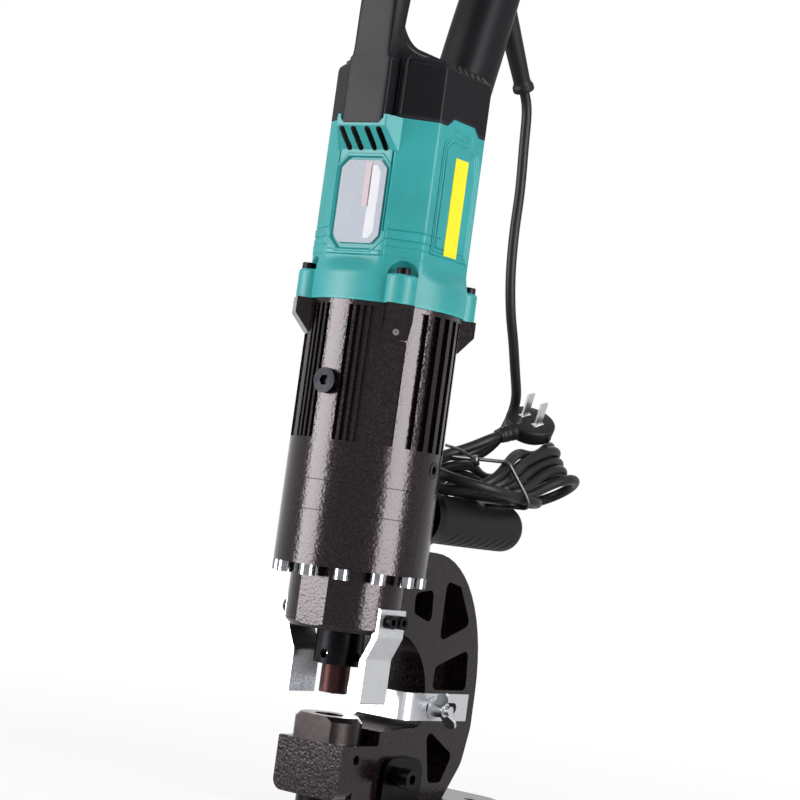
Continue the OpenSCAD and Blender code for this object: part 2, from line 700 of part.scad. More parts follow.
module bleed_screw() {
  color(steel) around(45, lug_reach - 11) translate([0, 0, bleed_z]) rotate([90, 0, 0]) difference() {
    cylinder(d = bleed_d, h = 5.6);
    translate([0, 0, 4]) cylinder(d = 2.3, h = 5, $fn = 6);
  }
}
block_top = cyl_top + block_h;
plunger_z = block_top - 9;
cam_r = 11;
cam_pocket_r = cam_r + throw + 3;
plunger_in = cam_r + throw + 0.4;
plunger_angles = [30, 150, 270];
plunger_len = 12;
valve_r = 6;
valve_at = 26;
valve_in = 22;
module pump_block() {
  color(steel) difference() {
    translate([0, 0, cyl_top]) cylinder(r = pump_in_r - seat_fit, h = block_h);
    translate([0, 0, block_top - 18]) cylinder(r = cam_pocket_r, h = 18 + cut);
    for (a = plunger_angles) around(a, 0) translate([0, 0, plunger_z]) rotate([90, 0, 0])
      cylinder(r = plunger_r + slide_fit, h = pump_in_r + cut);
    translate([0, 0, cyl_top - cut]) cylinder(r = oil_way_r, h = 6);
    around(90, valve_at) translate([0, 0, block_top - valve_in])
      cylinder(r = valve_r + seat_fit, h = valve_in + cut);
  }
}
module plungers() {
  color(zinc) for (a = plunger_angles) around(a, plunger_in) translate([0, 0, plunger_z])
    rotate([90, 0, 0]) cylinder(r = plunger_r, h = plunger_len);
}
plug_out = pump_in_r - 0.4;
plug_len = 4;
module plunger_springs() {
  from = plunger_in + plunger_len;
  color(steel) for (a = plunger_angles) around(a, from) translate([0, 0, plunger_z])
    rotate([90, 0, 0]) coil_spring(plunger_r - 1, 0.6, plug_out - plug_len - from, 3, 6, 10);
}
module plunger_plugs() {
  color(black_oxide) for (a = plunger_angles) around(a, plug_out - plug_len)
    translate([0, 0, plunger_z]) rotate([90, 0, 0]) cylinder(r = plunger_r, h = plug_len);
}
module relief_valve() {
  color("#b08d4f") around(90, valve_at) translate([0, 0, block_top - valve_in]) union() {
    cylinder(r = valve_r, h = valve_in);
    translate([0, 0, valve_in]) cylinder(r = valve_r - 0.5, h = 5, $fn = 6);
  }
}
bladder_in = 24;
module oil_bladder() {
  color("#26282a") translate([0, 0, block_top + seat_fit]) difference() {
    tube(pump_in_r - seat_fit, bladder_in, pump_top - pump_lid_t - block_top - 2 * seat_fit);
    around(90, valve_at) translate([0, 0, -cut]) cylinder(r = valve_r + 1.5, h = 8);
  }
}
module housing_screws() {
  sunk = 5;
  color(black_oxide) for (a = lug_angles) around(a, lug_screw_r)
    translate([0, 0, pump_top + lobe_h - sunk]) cap_screw(lug_screw_d, lobe_h + 7, 8.5, 5, 4.6);
}

// ---- motor ----
lobe_h = 18;
lobe_r = 9.5;
plate_t = 8;
bearing_h = 10;
shaft_foot = block_top - 17;
front_bearing_z = pump_top + plate_t;
fan_z = front_bearing_z + 4;
fan_h = 13;
core_z = fan_z + fan_h + 7;
winding_h = 7;
winding_gap = 4;
commutator_h = 14;
commutator_r = 14;
rear_bearing_z = motor_top - 6;
commutator_z = rear_bearing_z - 4.5 - commutator_h;
// The core fills the room between the fan and the commutator.
core_h = commutator_z - winding_gap - winding_h - core_z;
rear_bearing_r = 13;
front_bearing_r = 16;
module bearing(r, bore, h) {
  race = (r - bore) / 3.4;
  color(steel) difference() {
    tube(r, bore, h);
    for (z = [-cut, h - 0.8]) translate([0, 0, z]) tube(r - race, bore + race, 0.8 + cut);
  }
}
module bearing_plate() {
  color("#b4b7ba") translate([0, 0, pump_top]) difference() {
    union() {
      cylinder(r = motor_bore_r - seat_fit, h = plate_t - 2);
      cylinder(r = front_bearing_r + 4, h = plate_t);
    }
    translate([0, 0, -cut]) cylinder(r = seal_r + seat_fit, h = plate_t + 2 * cut);
    translate([0, 0, plate_t - 7]) cylinder(r = front_bearing_r + seat_fit, h = 8);
  }
}
module shaft_seal() {
  color("#3b2b25") translate([0, 0, pump_top - pump_lid_t]) tube(seal_r, shaft_r + slide_fit, pump_lid_t);
}
module front_bearing() {
  translate([0, 0, pump_top + plate_t - 7]) bearing(front_bearing_r, shaft_r + slide_fit, bearing_h);
}
module rear_bearing() {
  translate([0, 0, rear_bearing_z]) bearing(rear_bearing_r, shaft_r - 1 + slide_fit, 9);
}
module armature() {
  color("#a4694a") {
    translate([0, 0, shaft_foot + 18]) cylinder(r = shaft_r, h = rear_bearing_z - shaft_foot - 18);
    translate([0, 0, rear_bearing_z - cut]) cylinder(r = shaft_r - 1, h = 12);
    translate([throw, 0, shaft_foot]) cylinder(r = shaft_r + 1, h = 16);
    translate([0, 0, shaft_foot + 15]) cylinder(r = shaft_r + throw + 2, h = 4);
    translate([0, 0, core_z]) difference() {
      cylinder(r = armature_r, h = core_h);
      for (a = [0:30:330]) around(a, armature_r - 4) translate([-1.25, -5, -cut])
        cube([2.5, 6, core_h + 2 * cut]);
    }
    for (z = [core_z - winding_h, core_z + core_h]) translate([0, 0, z])
      cylinder(r = armature_r - 4, h = winding_h);
    translate([0, 0, core_z + core_h]) cylinder(r = shaft_r + 3, h = commutator_z - core_z - core_h);
    translate([0, 0, commutator_z]) cylinder(r = commutator_r, h = commutator_h);
  }
}
module eccentric_bearing() {
  color(steel) translate([throw, 0, plunger_z - 5]) tube(cam_r, shaft_r + 1 + slide_fit, 9.5);
}
module cooling_fan() {
  color("#d8d8d2") translate([0, 0, fan_z]) {
    difference() {
      union() {
        cylinder(r = fan_r, h = 2);
        cylinder(r = shaft_r + 4, h = fan_h);
        for (i = [0:fan_blades - 1]) around(i * 360 / fan_blades, 0)
          translate([-0.8, -fan_r, 0]) cube([1.6, fan_r - shaft_r - 6, fan_h - 2]);
      }
      translate([0, 0, -cut]) cylinder(r = shaft_r + seat_fit, h = fan_h + 2 * cut);
    }
  }
}
module stator() {
  color("#8c8f94") translate([0, 0, core_z]) difference() {
    cylinder(r = motor_bore_r - seat_fit, h = core_h);
    translate([0, 0, -cut]) cylinder(r = armature_r + air_gap, h = core_h + 2 * cut);
    for (side = [-1, 1]) translate([side > 0 ? armature_r - 2 : -armature_r - 6, -9, -cut])
      cube([8, 18, core_h + 2 * cut]);
  }
}
brush_z = commutator_z + commutator_h / 2;
brush_w = 6;
brush_h = 9;
brush_len = 14;
module brush_holders() {
  w = brush_w + 2 * seat_fit;
  h = brush_h + 2 * seat_fit;
  color("#b5924c") for (a = [90, 270]) around(a, 0) translate([0, 0, brush_z]) difference() {
    intersection() {
      translate([-w / 2 - 2, -motor_bore_r, -h / 2 - 2]) cube([w + 4, motor_bore_r - 16, h + 4]);
      translate([0, 0, -h]) cylinder(r = motor_bore_r - seat_fit, h = 2 * h);
    }
    translate([-w / 2, 2 - motor_bore_r, -h / 2]) cube([w, motor_bore_r, h]);
  }
}
module carbon_brushes() {
  color("#202022") for (a = [90, 270]) around(a, commutator_r + 0.2 + brush_len)
    translate([-brush_w / 2, 0, brush_z - brush_h / 2]) cube([brush_w, brush_len, brush_h]);
}

// The octagon of the motor housing and cap; grow moves every side out.
function motor_outline(grow = 0) =
  let (x = motor_half_x + grow, y = motor_half_y + grow, c = bevel_x, f = bevel_front, b = bevel_back)
  [[x - c, -y], [x, f - y], [x, y - b], [x - c, y], [c - x, y], [-x, y - b], [-x, f - y], [c - x, -y]];
bevel_x = 21;
bevel_front = 14.5;
bevel_back = 18.6;
front_bump = 9.6;
motor_flange_r = cyl_r + 1.6;
motor_cone_h = 7.5;
strap_face = motor_half_y + front_bump;
bump_foot_w = 22.5;
bump_top_w = 18.6;
bump_h = 20;
notch_half_w = 16;
notch_h = 5;
plate_half_w = 17.2;
plate_low = motor_top - 78;
plate_high = motor_top - 26.5;
function plate_outline(grow) =
  box_outline(-plate_half_w - grow, plate_half_w + grow, plate_low - grow, plate_high + grow);
slot_places = [-13.9, -5.2, 5.2, 13.9];
slot_w = 3.3;
slot_h = 13;
module vent_slots() {
  outline = rounded(box_outline(-slot_w / 2, slot_w / 2, -slot_h / 2, slot_h / 2), slot_w / 2 - 0.01, 4);
  for (x = slot_places) translate([x, -motor_half_y - 22, motor_top - notch_h - 9]) rotate([-90, 8, 0])
    linear_extrude(40) polygon(outline);
}
// The sloped bump that holds the air slots and takes the front strap.
module front_bump_body() {
  hull() {
    translate([-bump_top_w, -strap_face, motor_top - notch_h - 2]) cube([2 * bump_top_w, 1, notch_h + 2]);
    translate([-bump_foot_w, -motor_half_y, motor_top - bump_h]) cube([2 * bump_foot_w, 3, bump_h]);
  }
}
// The spider that holds the rear bearing.
module bearing_bridge() {
  ring_r = rear_bearing_r + 4;
  translate([0, 0, rear_bearing_z - 2]) difference() {
    union() {
      cylinder(r = ring_r, h = 8);
      for (a = lug_angles) around(a, 0) translate([-3, -motor_bore_r - 1, 0])
        cube([6, motor_bore_r - 10, 7]);
    }
    translate([0, 0, -cut]) cylinder(r = rear_bearing_r - 2, h = 12);
    translate([0, 0, 2]) cylinder(r = rear_bearing_r + seat_fit, h = 8);
  }
}
module motor_housing() {
  color(teal) bearing_bridge();
  color(teal) difference() {
    union() {
      translate([0, 0, pump_top]) cylinder(r = motor_flange_r, h = motor_flange_h);
      translate([0, 0, pump_top + motor_flange_h])
        cylinder(r1 = motor_flange_r, r2 = motor_bore_r + 2, h = motor_cone_h);
      for (a = lug_angles) around(a, lug_reach - lobe_r) translate([0, 0, pump_top])
        cylinder(r = lobe_r, h = lobe_h);
      translate([0, 0, pump_top + motor_flange_h - cut])
        linear_extrude(motor_h - motor_flange_h + cut) polygon(motor_outline());
      front_bump_body();
      // A raised frame round the nameplate.
      front_on(-motor_half_y - 1, -motor_half_y + cut)
        polygon(rounded(plate_outline(4), 4, 4));
    }
    translate([0, 0, pump_top - cut]) cylinder(r = motor_bore_r, h = motor_h + 2 * cut);
    front_on(-motor_half_y - 2 * cut, -motor_half_y + 1)
      polygon(rounded(plate_outline(0), 5, 1));
    side_on(-notch_half_w - 0.3, notch_half_w + 0.3)
      polygon(box_outline(-strap_face - cut, -motor_half_y + 2, motor_top - notch_h, motor_top + cut));
    vent_slots();
    for (a = lug_angles) around(a, lug_screw_r) translate([0, 0, pump_top - cut]) {
      cylinder(d = lug_screw_d + 2 * hole_fit, h = lobe_h + 3);
      translate([0, 0, lobe_h - 5 + cut]) cylinder(d = 9, h = 14);
    }
  }
}
module nameplate() {
  color("#c7ccd1") front_on(-motor_half_y + 0.2, -motor_half_y + 1)
    polygon(rounded(plate_outline(-seat_fit), 5, 1));
}
strip_w = 14;
strip_down = 17;
strip_low = pump_top + motor_flange_h + motor_cone_h + 8;
module side_strip() {
  color("#e8d92c") translate([motor_half_x, -6, strip_low])
    cube([0.4, strip_w, motor_top - strip_down - strip_low]);
}

// ---- rear cap and D-handle ----
saddle_h = 15;
opening_low = cap_top + saddle_h;
handle_top = opening_low + hand_h + top_bar_t;
top_mid = handle_top - top_bar_t / 2;
strap_half_d = 5.4;
grip_foot = [49, cap_top];
grip_lean = 15.6;
grip_run = top_mid - cap_top - 34;
// A place on the grip's middle line, a distance up from the cap.
function grip_at(h) = grip_foot + h * [sin(grip_lean), cos(grip_lean)];
// Stations of the handle's loop: Y, Z, direction of the loop, half depth and half width.
loop_stations = [
  [-strap_face + strap_half_d, motor_top - notch_h, 90, strap_half_d, notch_half_w],
  [-strap_face + strap_half_d, cap_top + 1, 90, strap_half_d, notch_half_w],
  [-strap_face + 6.2, cap_top + 5, 90, 6, strap_half_w],
  [-strap_face + 9, opening_low + 40, 90, 9, strap_half_w],
  [-strap_face + 10.5, top_mid - 40, 88, 10.5, strap_half_w],
  [-strap_face + 13, top_mid - 22, 70, 11, strap_half_w + 0.5],
  [-strap_face + 25, top_mid - 7, 35, 12.5, strap_half_w + 1],
  [-strap_face + 44, top_mid, 5, top_bar_t / 2, strap_half_w + 1],
  [10, top_mid + 0.5, 0, top_bar_t / 2 - 0.5, strap_half_w + 1],
  [36, top_mid, -3, top_bar_t / 2, strap_half_w + 1.5],
  [58, top_mid - 4, -18, top_bar_t / 2 + 2, grip_half_w - 1],
  [grip_at(grip_run + 18).x - 3, grip_at(grip_run + 18).y - 1, -48, 17, grip_half_w - 0.5],
  [grip_at(grip_run + 4).x, grip_at(grip_run + 4).y, -68, 19, grip_half_w],
  [grip_at(grip_run - 10).x, grip_at(grip_run - 10).y, -90 - grip_lean, grip_half_d - 1, grip_half_w],
  [grip_at(50).x, grip_at(50).y, -90 - grip_lean, grip_half_d, grip_half_w],
  [grip_at(22).x, grip_at(22).y, -90 - grip_lean, grip_half_d, grip_half_w],
  [grip_at(2).x, grip_at(2).y, -90 - grip_lean, grip_half_d, grip_half_w - 1],
  [grip_at(0).x - 5, cap_top - 14, -100 - grip_lean, grip_half_d - 2, grip_half_w - 2],
  [grip_at(0).x - 15, cap_top - 26, -120, grip_half_d - 8, grip_half_w - 4]
];
section_power = 3.2;
function signed_pow(v, p) = sign(v) * pow(abs(v), p);
function loop_ring(s, inset, n) =
  [for (k = [0:n - 1]) let (a = 360 * (k + 0.5) / n,
     x = (s[4] - inset) * signed_pow(cos(a), 2 / section_power),
     d = (s[3] - inset) * signed_pow(sin(a), 2 / section_power))
     [-x, s[0] - d * sin(s[2]), s[1] + d * cos(s[2])]];
module handle_loop(inset) {
  sides = 28;
  polyhedron(points = [for (s = loop_stations) each loop_ring(s, inset, sides)],
             faces = skin_faces(len(loop_stations), sides), convexity = 10);
}
// The web that fills the corners under the hand opening.
module handle_saddle(inset) {
  half = strap_half_w - 2 - inset;
  side_on(-half, half) polygon(concat(
    [[-strap_face + 4 + inset, cap_top - 4], [-strap_face + 11 - inset, opening_low + 28]],
    corner_arc([-strap_face + 12 - inset, opening_low + 40],
               [-strap_face + 12 - inset, opening_low - inset], [30, opening_low - inset], 26, 8),
    [[34, opening_low - inset], [50, opening_low - inset], [50, cap_top - 4]]));
}
trigger_h = 34;
trigger_w = 15;
trigger_up = grip_run - 32;
trigger_out = 9;
button_up = trigger_up + 6;
button_d = 9;
window_gap = 0.4;
boot_root = grip_at(80) + [grip_half_d * cos(grip_lean) - 3, -grip_half_d * sin(grip_lean)];
boot_end = [124, 486];
boot_tilt = atan2(boot_root.x - boot_end.x, boot_end.y - boot_root.y);
boot_d = 14;
switch_half = [10, 22];
switch_front = 9;
switch_back = 11;
handle_screw_x = 11.7;
handle_screw_d = 3;
handle_screw_len = 22;
// Each handle screw's Y and Z, and the half length of its bosses.
handle_screw_places = [[-strap_face + 24, top_mid - 8, strap_half_w - 0.5],
                       [40, top_mid, strap_half_w - 0.5],
                       [grip_at(24).x, grip_at(24).y, grip_half_w - 1.5],
                       [-strap_face + 9, opening_low + 30, strap_half_w - 1.3]];
module on_grip(h) { translate([0, grip_at(h).x, grip_at(h).y]) rotate([-grip_lean, 0, 0]) children(); }
// Ribs in the grip that hold the switch, and the bosses that the handle screws run in.
module handle_ribs() {
  reach = 5.4;
  on_grip(trigger_up + trigger_h / 2) for (side = [-1, 1], z = [-21, 12])
    translate([side > 0 ? switch_half.x + seat_fit : -switch_half.x - seat_fit - reach, -7, z])
      cube([reach, 14, 3]);
  for (p = handle_screw_places) translate([-p.z, p.x, p.y]) rotate([0, 90, 0])
    cylinder(d = 8, h = 2 * p.z);
}
module handle_body() {
  difference() {
    union() {
      handle_case();
      handle_ribs();
    }
    for (p = handle_screw_places) translate([-handle_screw_x, p.x, p.y]) rotate([0, 90, 0]) {
      translate([0, 0, -8]) cylinder(d = 7, h = 8);
      cylinder(d = handle_screw_d + 2 * seat_fit, h = handle_screw_len);
    }
  }
}
module handle_case() {
  difference() {
    union() {
      translate([0, 0, motor_top]) linear_extrude(cap_h - 3) polygon(motor_outline());
      translate([0, 0, cap_top - 3]) linear_extrude(3) polygon(motor_outline(-1.2));
      handle_loop(0);
      handle_saddle(0);
    }
    translate([0, 0, motor_top - cut]) linear_extrude(cap_h - shell_t + cut)
      polygon(motor_outline(-shell_t));
    handle_loop(shell_t);
    handle_saddle(shell_t);
    // The trigger's window, the lock button's hole and the cable boot's hole.
    on_grip(trigger_up + trigger_h / 2)
      translate([-trigger_w / 2 - window_gap, -grip_half_d - 12, -trigger_h / 2 - window_gap])
        cube([trigger_w + 2 * window_gap, grip_half_d + 12 - switch_front + 2, trigger_h + 2 * window_gap]);
    on_grip(button_up) translate([-grip_half_w - cut, 0, 0]) rotate([0, 90, 0])
      cylinder(d = button_d + 2 * window_gap, h = 8);
    translate([0, boot_root.x, boot_root.y]) rotate([boot_tilt, 0, 0]) translate([0, 0, -10])
      cylinder(d = boot_d + 2 * seat_fit, h = 30);
  }
}
module half_space(side) {
  size = 400;
  translate([side > 0 ? 0 : -size, -size / 2, motor_top - 50]) cube(size);
}
module handle_shell_left() { color(black_plastic) intersection() { handle_body(); half_space(-1); } }
module handle_shell_right() { color(black_plastic) intersection() { handle_body(); half_space(1); } }
module handle_screws() {
  color(black_oxide) for (p = handle_screw_places) translate([-handle_screw_x, p.x, p.y])
    rotate([0, -90, 0]) difference() {
      union() {
        cylinder(d = 6.5, h = 2.4);
        translate([0, 0, -handle_screw_len]) cylinder(d = handle_screw_d, h = handle_screw_len);
      }
      translate([0, 0, 1]) for (a = [0, 90]) rotate([0, 0, a]) cube([3.6, 0.8, 4], center = true);
    }
}
module switch_body() {
  color("#1c1c1e") on_grip(trigger_up + trigger_h / 2)
    translate([-switch_half.x, -switch_front, -switch_half.y])
      cube([2 * switch_half.x, switch_front + switch_back, 2 * switch_half.y]);
}
module trigger() {
  front = -grip_half_d - trigger_out;
  back = -switch_front - 0.3 - trigger_travel;
  color("#232326") on_grip(trigger_up + trigger_h / 2) side_on(-trigger_w / 2, trigger_w / 2)
    polygon(rounded([[front + 2, -trigger_h / 2], [back, -trigger_h / 2], [back, trigger_h / 2],
                     [front + 4, trigger_h / 2], [front, 0]], [3, 0, 0, 4, 12], 5));
}
module lock_button() {
  color("#232326") on_grip(button_up) translate([-grip_half_w - button_travel - 0.4, 0, 0])
    rotate([0, 90, 0]) cylinder(d = button_d, h = 6);
}

// ---- cord ----
// The cord's route down from the boot: X, Y, Z.
cord_route = [[0, 124, 486], [0, 127, 482], [0, 131, 472], [0, 133, 450], [1, 134, 420],
              [1, 134, 390], [2, 135, 362], [2, 141, 338], [3, 150, 318], [4, 158, 300],
              [5, 162, 282], [6, 160, 268], [6, 154, 258]];
// A smooth line through the route's points, with a few steps between each pair.
function smooth_between(a, b, c, d, t) =
  0.5 * ((2 * b) + (c - a) * t + (2 * a - 5 * b + 4 * c - d) * t * t + (3 * b - a - 3 * c + d) * t * t * t);
function smooth_line(p, steps) =
  concat([for (i = [0:len(p) - 2], s = [0:steps - 1])
            smooth_between(p[max(i - 1, 0)], p[i], p[i + 1], p[min(i + 2, len(p) - 1)], s / steps)],
         [p[len(p) - 1]]);
module cable_boot() {
  length = norm(boot_end - boot_root);
  color("#242427") translate([0, boot_root.x, boot_root.y]) rotate([boot_tilt, 0, 0]) {
    cylinder(d = boot_d, h = 6);
    translate([0, 0, 6]) cylinder(d1 = boot_d, d2 = 11, h = length - 10);
    translate([0, 0, length - 4]) cylinder(d = 13, h = 4);
  }
}
module power_cord() {
  color("#2b2b2e") sweep(smooth_line(cord_route, 2), cord_d / 2, cord_sides, [1, 0, 0]);
}
hank_half_w = 24.5;
hank_low = side_z + side_r + 2;
hank_outline = [[84, hank_low], [84, hank_low + 9], [112, hank_low + 20], [140, hank_low + 34],
                [176, hank_low + 38], [210, hank_low + 45], [223, hank_low + 26], [208, hank_low]];
module cord_hank() {
  color("#2b2b2e") side_on(-hank_half_w, hank_half_w)
    polygon(rounded(hank_outline, [4, 4, 20, 20, 20, 12, 12, 12], 4));
}
tie_y = 118;
module cord_tie() {
  in = hank_half_w + seat_fit;
  low = hank_low - seat_fit;
  high = hank_low + 24.5;
  t = 1.3;
  color("#161618") translate([0, tie_y, 0]) front_on(-1.8, 1.8) difference() {
    polygon(rounded(box_outline(-in - t, in + t, low - t, high + t), 3, 4));
    polygon(box_outline(-in, in, low, high));
  }
}
plug_mid = [8, 176, 268];
plug_turn = [22, 27, 0];
plug_r = 17.5;
plug_t = 12;
blade_x = 6.35;
blade_w = 6.4;
blade_t = 1.6;
module plug_body() {
  color("#26262a") translate(plug_mid) rotate(plug_turn) translate([0, 0, -plug_t])
    cylinder(r = plug_r, h = plug_t);
}
module plug_pins() {
  color(zinc) translate(plug_mid) rotate(plug_turn) for (side = [-1, 1])
    translate([side * blade_x - blade_t / 2, -blade_w / 2, 0]) cube([blade_t, blade_w, 17]);
}

// ---- side handle ----
collar_t = 8;
stud_in = 44;
module side_collar() {
  color("#1e1e20") translate([0, side_face, side_z]) rotate([-90, 0, 0])
    tube(collar_r, side_stud_d / 2 + seat_fit, collar_t);
}
module side_grip() {
  end_r = 9;
  color("#2a2a2d") translate([0, side_face + collar_t, side_z]) rotate([-90, 0, 0]) difference() {
    rotate_extrude() polygon(concat([[0, 0], [side_r - 2, 0], [side_r, 3]],
      [for (a = [0:15:90]) [side_r - end_r + end_r * cos(a), side_len - end_r + end_r * sin(a)]],
      [[0, side_len]]));
    translate([0, 0, -cut]) cylinder(d = side_stud_d + 2 * seat_fit, h = stud_in + 2 * cut);
  }
}
module side_stud() {
  from = bore_r + 4.3;
  color(steel) translate([0, from, side_z]) rotate([-90, 0, 0])
    cylinder(d = side_stud_d, h = side_face + collar_t + stud_in - from);
}

base_plate();
base_brackets();
base_screws();
c_frame();
die();
die_set_screw();
stripper_left();
stripper_right();
stripper_screws();
frame_bolts();
guide_bush();
piston_rod();
piston_seal();
return_spring();
punch();
punch_nut();
gauge_plate();
gauge_stud();
gauge_washer();
wing_nut();
cylinder_body();  // cylinder
port_plug();
pump_housing();
oil_filler_plug();
bleed_screw();
pump_block();
plungers();
plunger_springs();
plunger_plugs();
relief_valve();
oil_bladder();
housing_screws();
bearing_plate();
shaft_seal();
front_bearing();
rear_bearing();
armature();
cooling_fan();
eccentric_bearing();
stator();
brush_holders();
carbon_brushes();
motor_housing();
nameplate();
side_strip();
handle_shell_left();
handle_shell_right();
handle_screws();
switch_body();
trigger();
lock_button();
cable_boot();
power_cord();
cord_hank();
cord_tie();
plug_body();
plug_pins();
side_grip();
side_collar();
side_stud();
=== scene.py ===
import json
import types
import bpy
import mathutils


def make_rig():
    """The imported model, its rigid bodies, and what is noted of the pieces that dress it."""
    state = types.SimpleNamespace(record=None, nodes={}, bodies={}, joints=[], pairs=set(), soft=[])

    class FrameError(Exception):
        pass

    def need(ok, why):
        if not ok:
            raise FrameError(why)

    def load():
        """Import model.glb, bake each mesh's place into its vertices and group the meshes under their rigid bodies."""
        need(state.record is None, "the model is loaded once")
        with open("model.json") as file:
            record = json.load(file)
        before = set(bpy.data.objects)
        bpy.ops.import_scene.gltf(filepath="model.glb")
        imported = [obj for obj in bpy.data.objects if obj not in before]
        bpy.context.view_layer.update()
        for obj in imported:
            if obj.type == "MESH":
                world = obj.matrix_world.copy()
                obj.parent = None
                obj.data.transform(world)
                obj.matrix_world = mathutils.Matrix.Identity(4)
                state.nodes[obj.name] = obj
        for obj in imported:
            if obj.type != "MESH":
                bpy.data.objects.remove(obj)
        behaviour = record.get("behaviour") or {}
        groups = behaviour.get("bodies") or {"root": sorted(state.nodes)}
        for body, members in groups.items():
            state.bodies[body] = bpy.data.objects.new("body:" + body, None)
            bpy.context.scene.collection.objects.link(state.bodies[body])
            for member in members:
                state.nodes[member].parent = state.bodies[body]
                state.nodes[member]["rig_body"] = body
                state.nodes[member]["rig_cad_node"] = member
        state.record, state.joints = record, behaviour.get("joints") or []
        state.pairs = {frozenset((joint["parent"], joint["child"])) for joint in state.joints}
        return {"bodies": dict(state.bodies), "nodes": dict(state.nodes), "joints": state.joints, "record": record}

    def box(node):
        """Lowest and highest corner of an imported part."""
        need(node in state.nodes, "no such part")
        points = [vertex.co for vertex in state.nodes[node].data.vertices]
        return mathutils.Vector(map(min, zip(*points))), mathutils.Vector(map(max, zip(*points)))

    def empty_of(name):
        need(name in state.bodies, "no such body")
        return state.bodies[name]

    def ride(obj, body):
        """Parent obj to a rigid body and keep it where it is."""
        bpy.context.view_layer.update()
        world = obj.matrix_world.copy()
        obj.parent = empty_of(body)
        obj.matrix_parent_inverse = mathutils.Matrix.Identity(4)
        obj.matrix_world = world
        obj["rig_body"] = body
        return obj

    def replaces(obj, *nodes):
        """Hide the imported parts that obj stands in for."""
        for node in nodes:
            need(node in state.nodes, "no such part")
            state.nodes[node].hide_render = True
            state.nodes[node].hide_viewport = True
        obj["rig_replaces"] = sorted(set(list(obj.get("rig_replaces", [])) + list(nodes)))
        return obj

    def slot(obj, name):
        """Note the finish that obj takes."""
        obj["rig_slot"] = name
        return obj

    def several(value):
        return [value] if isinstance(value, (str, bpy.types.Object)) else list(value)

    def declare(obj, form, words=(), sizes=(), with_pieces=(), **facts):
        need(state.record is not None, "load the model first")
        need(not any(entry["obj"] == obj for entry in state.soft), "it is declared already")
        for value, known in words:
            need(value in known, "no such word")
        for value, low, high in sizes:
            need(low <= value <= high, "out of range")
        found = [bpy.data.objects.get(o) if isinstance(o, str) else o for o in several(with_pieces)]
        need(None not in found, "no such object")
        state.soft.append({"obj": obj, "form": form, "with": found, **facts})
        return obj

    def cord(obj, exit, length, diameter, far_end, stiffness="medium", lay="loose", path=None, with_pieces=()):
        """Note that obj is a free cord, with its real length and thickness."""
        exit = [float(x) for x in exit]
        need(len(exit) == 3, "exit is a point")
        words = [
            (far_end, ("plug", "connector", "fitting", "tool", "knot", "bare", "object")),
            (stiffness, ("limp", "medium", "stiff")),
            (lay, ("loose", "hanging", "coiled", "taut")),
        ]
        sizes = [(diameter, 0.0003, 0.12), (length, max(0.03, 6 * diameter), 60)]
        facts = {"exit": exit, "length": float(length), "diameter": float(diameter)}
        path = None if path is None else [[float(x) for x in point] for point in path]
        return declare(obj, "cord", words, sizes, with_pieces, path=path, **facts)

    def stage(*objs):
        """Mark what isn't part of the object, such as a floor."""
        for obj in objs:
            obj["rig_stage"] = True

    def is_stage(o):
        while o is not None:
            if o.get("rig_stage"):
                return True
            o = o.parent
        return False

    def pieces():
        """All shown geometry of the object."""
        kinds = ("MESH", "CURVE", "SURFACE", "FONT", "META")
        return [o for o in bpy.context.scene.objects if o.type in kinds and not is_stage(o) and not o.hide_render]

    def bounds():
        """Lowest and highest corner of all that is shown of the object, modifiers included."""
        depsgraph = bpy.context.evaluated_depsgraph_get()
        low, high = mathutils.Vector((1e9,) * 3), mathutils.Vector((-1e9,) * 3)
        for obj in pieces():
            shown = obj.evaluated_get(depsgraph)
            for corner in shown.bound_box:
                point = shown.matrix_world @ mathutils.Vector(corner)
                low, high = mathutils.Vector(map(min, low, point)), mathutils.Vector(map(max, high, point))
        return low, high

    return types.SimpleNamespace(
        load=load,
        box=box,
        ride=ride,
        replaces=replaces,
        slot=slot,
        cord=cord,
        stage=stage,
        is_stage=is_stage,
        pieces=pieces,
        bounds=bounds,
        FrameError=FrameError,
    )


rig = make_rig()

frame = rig.load()

import json
import math

import bpy
import numpy as np
from mathutils import Euler, Matrix, Vector
from mathutils.bvhtree import BVHTree

bl_info = {
    "name": "Portable Hydraulic Hole Punch",
    "version": (1, 0, 0),
    "blender": (4, 5, 0),
    "location": "3D View > Sidebar > Hole Punch",
    "description": "Dresses the frame of a portable hydraulic hole punch: housings, handle, cord, finishes",
    "category": "Add Mesh",
}

CAD_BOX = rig.bounds()
# Sizes here are in millimetres, as on the drawing; meshes are scaled to metres when they are made.
MM = 0.001


def corners(node):
    """A CAD node's lowest and highest corners, in millimetres."""
    low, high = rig.box(node)
    return low / MM, high / MM


FLANGE_FOOT = corners("motor_housing")[0].z
SEAM = corners("motor_housing")[1].z
# Half the octagon's width and depth.
HALF_X = HALF_Y = 42.0
CAP_TOP = SEAM + 34.5
GRIP_AXIS_Z = (corners("side_grip")[0].z + corners("side_grip")[1].z) / 2
CORD_D = 7.0


# ---- sizes and colours that a user would change ----

def to_linear(code):
    """An sRGB hex colour as the linear values that the shader takes."""
    parts = [int(code[i:i + 2], 16) / 255 for i in (1, 3, 5)]
    return tuple(c / 12.92 if c <= 0.04045 else ((c + 0.055) / 1.055) ** 2.4 for c in parts)


def colour_setting(name, text, code):
    return bpy.props.FloatVectorProperty(
        name=name, description=text, subtype="COLOR", size=3, min=0, max=1, default=to_linear(code)
    )


def length_setting(name, text, default, low, high):
    return bpy.props.FloatProperty(
        name=name, description=text, default=default, min=low, max=high, unit="LENGTH"
    )


def angle_setting(name, text, degrees):
    return bpy.props.FloatProperty(
        name=name, description=text, default=math.radians(degrees), subtype="ANGLE"
    )


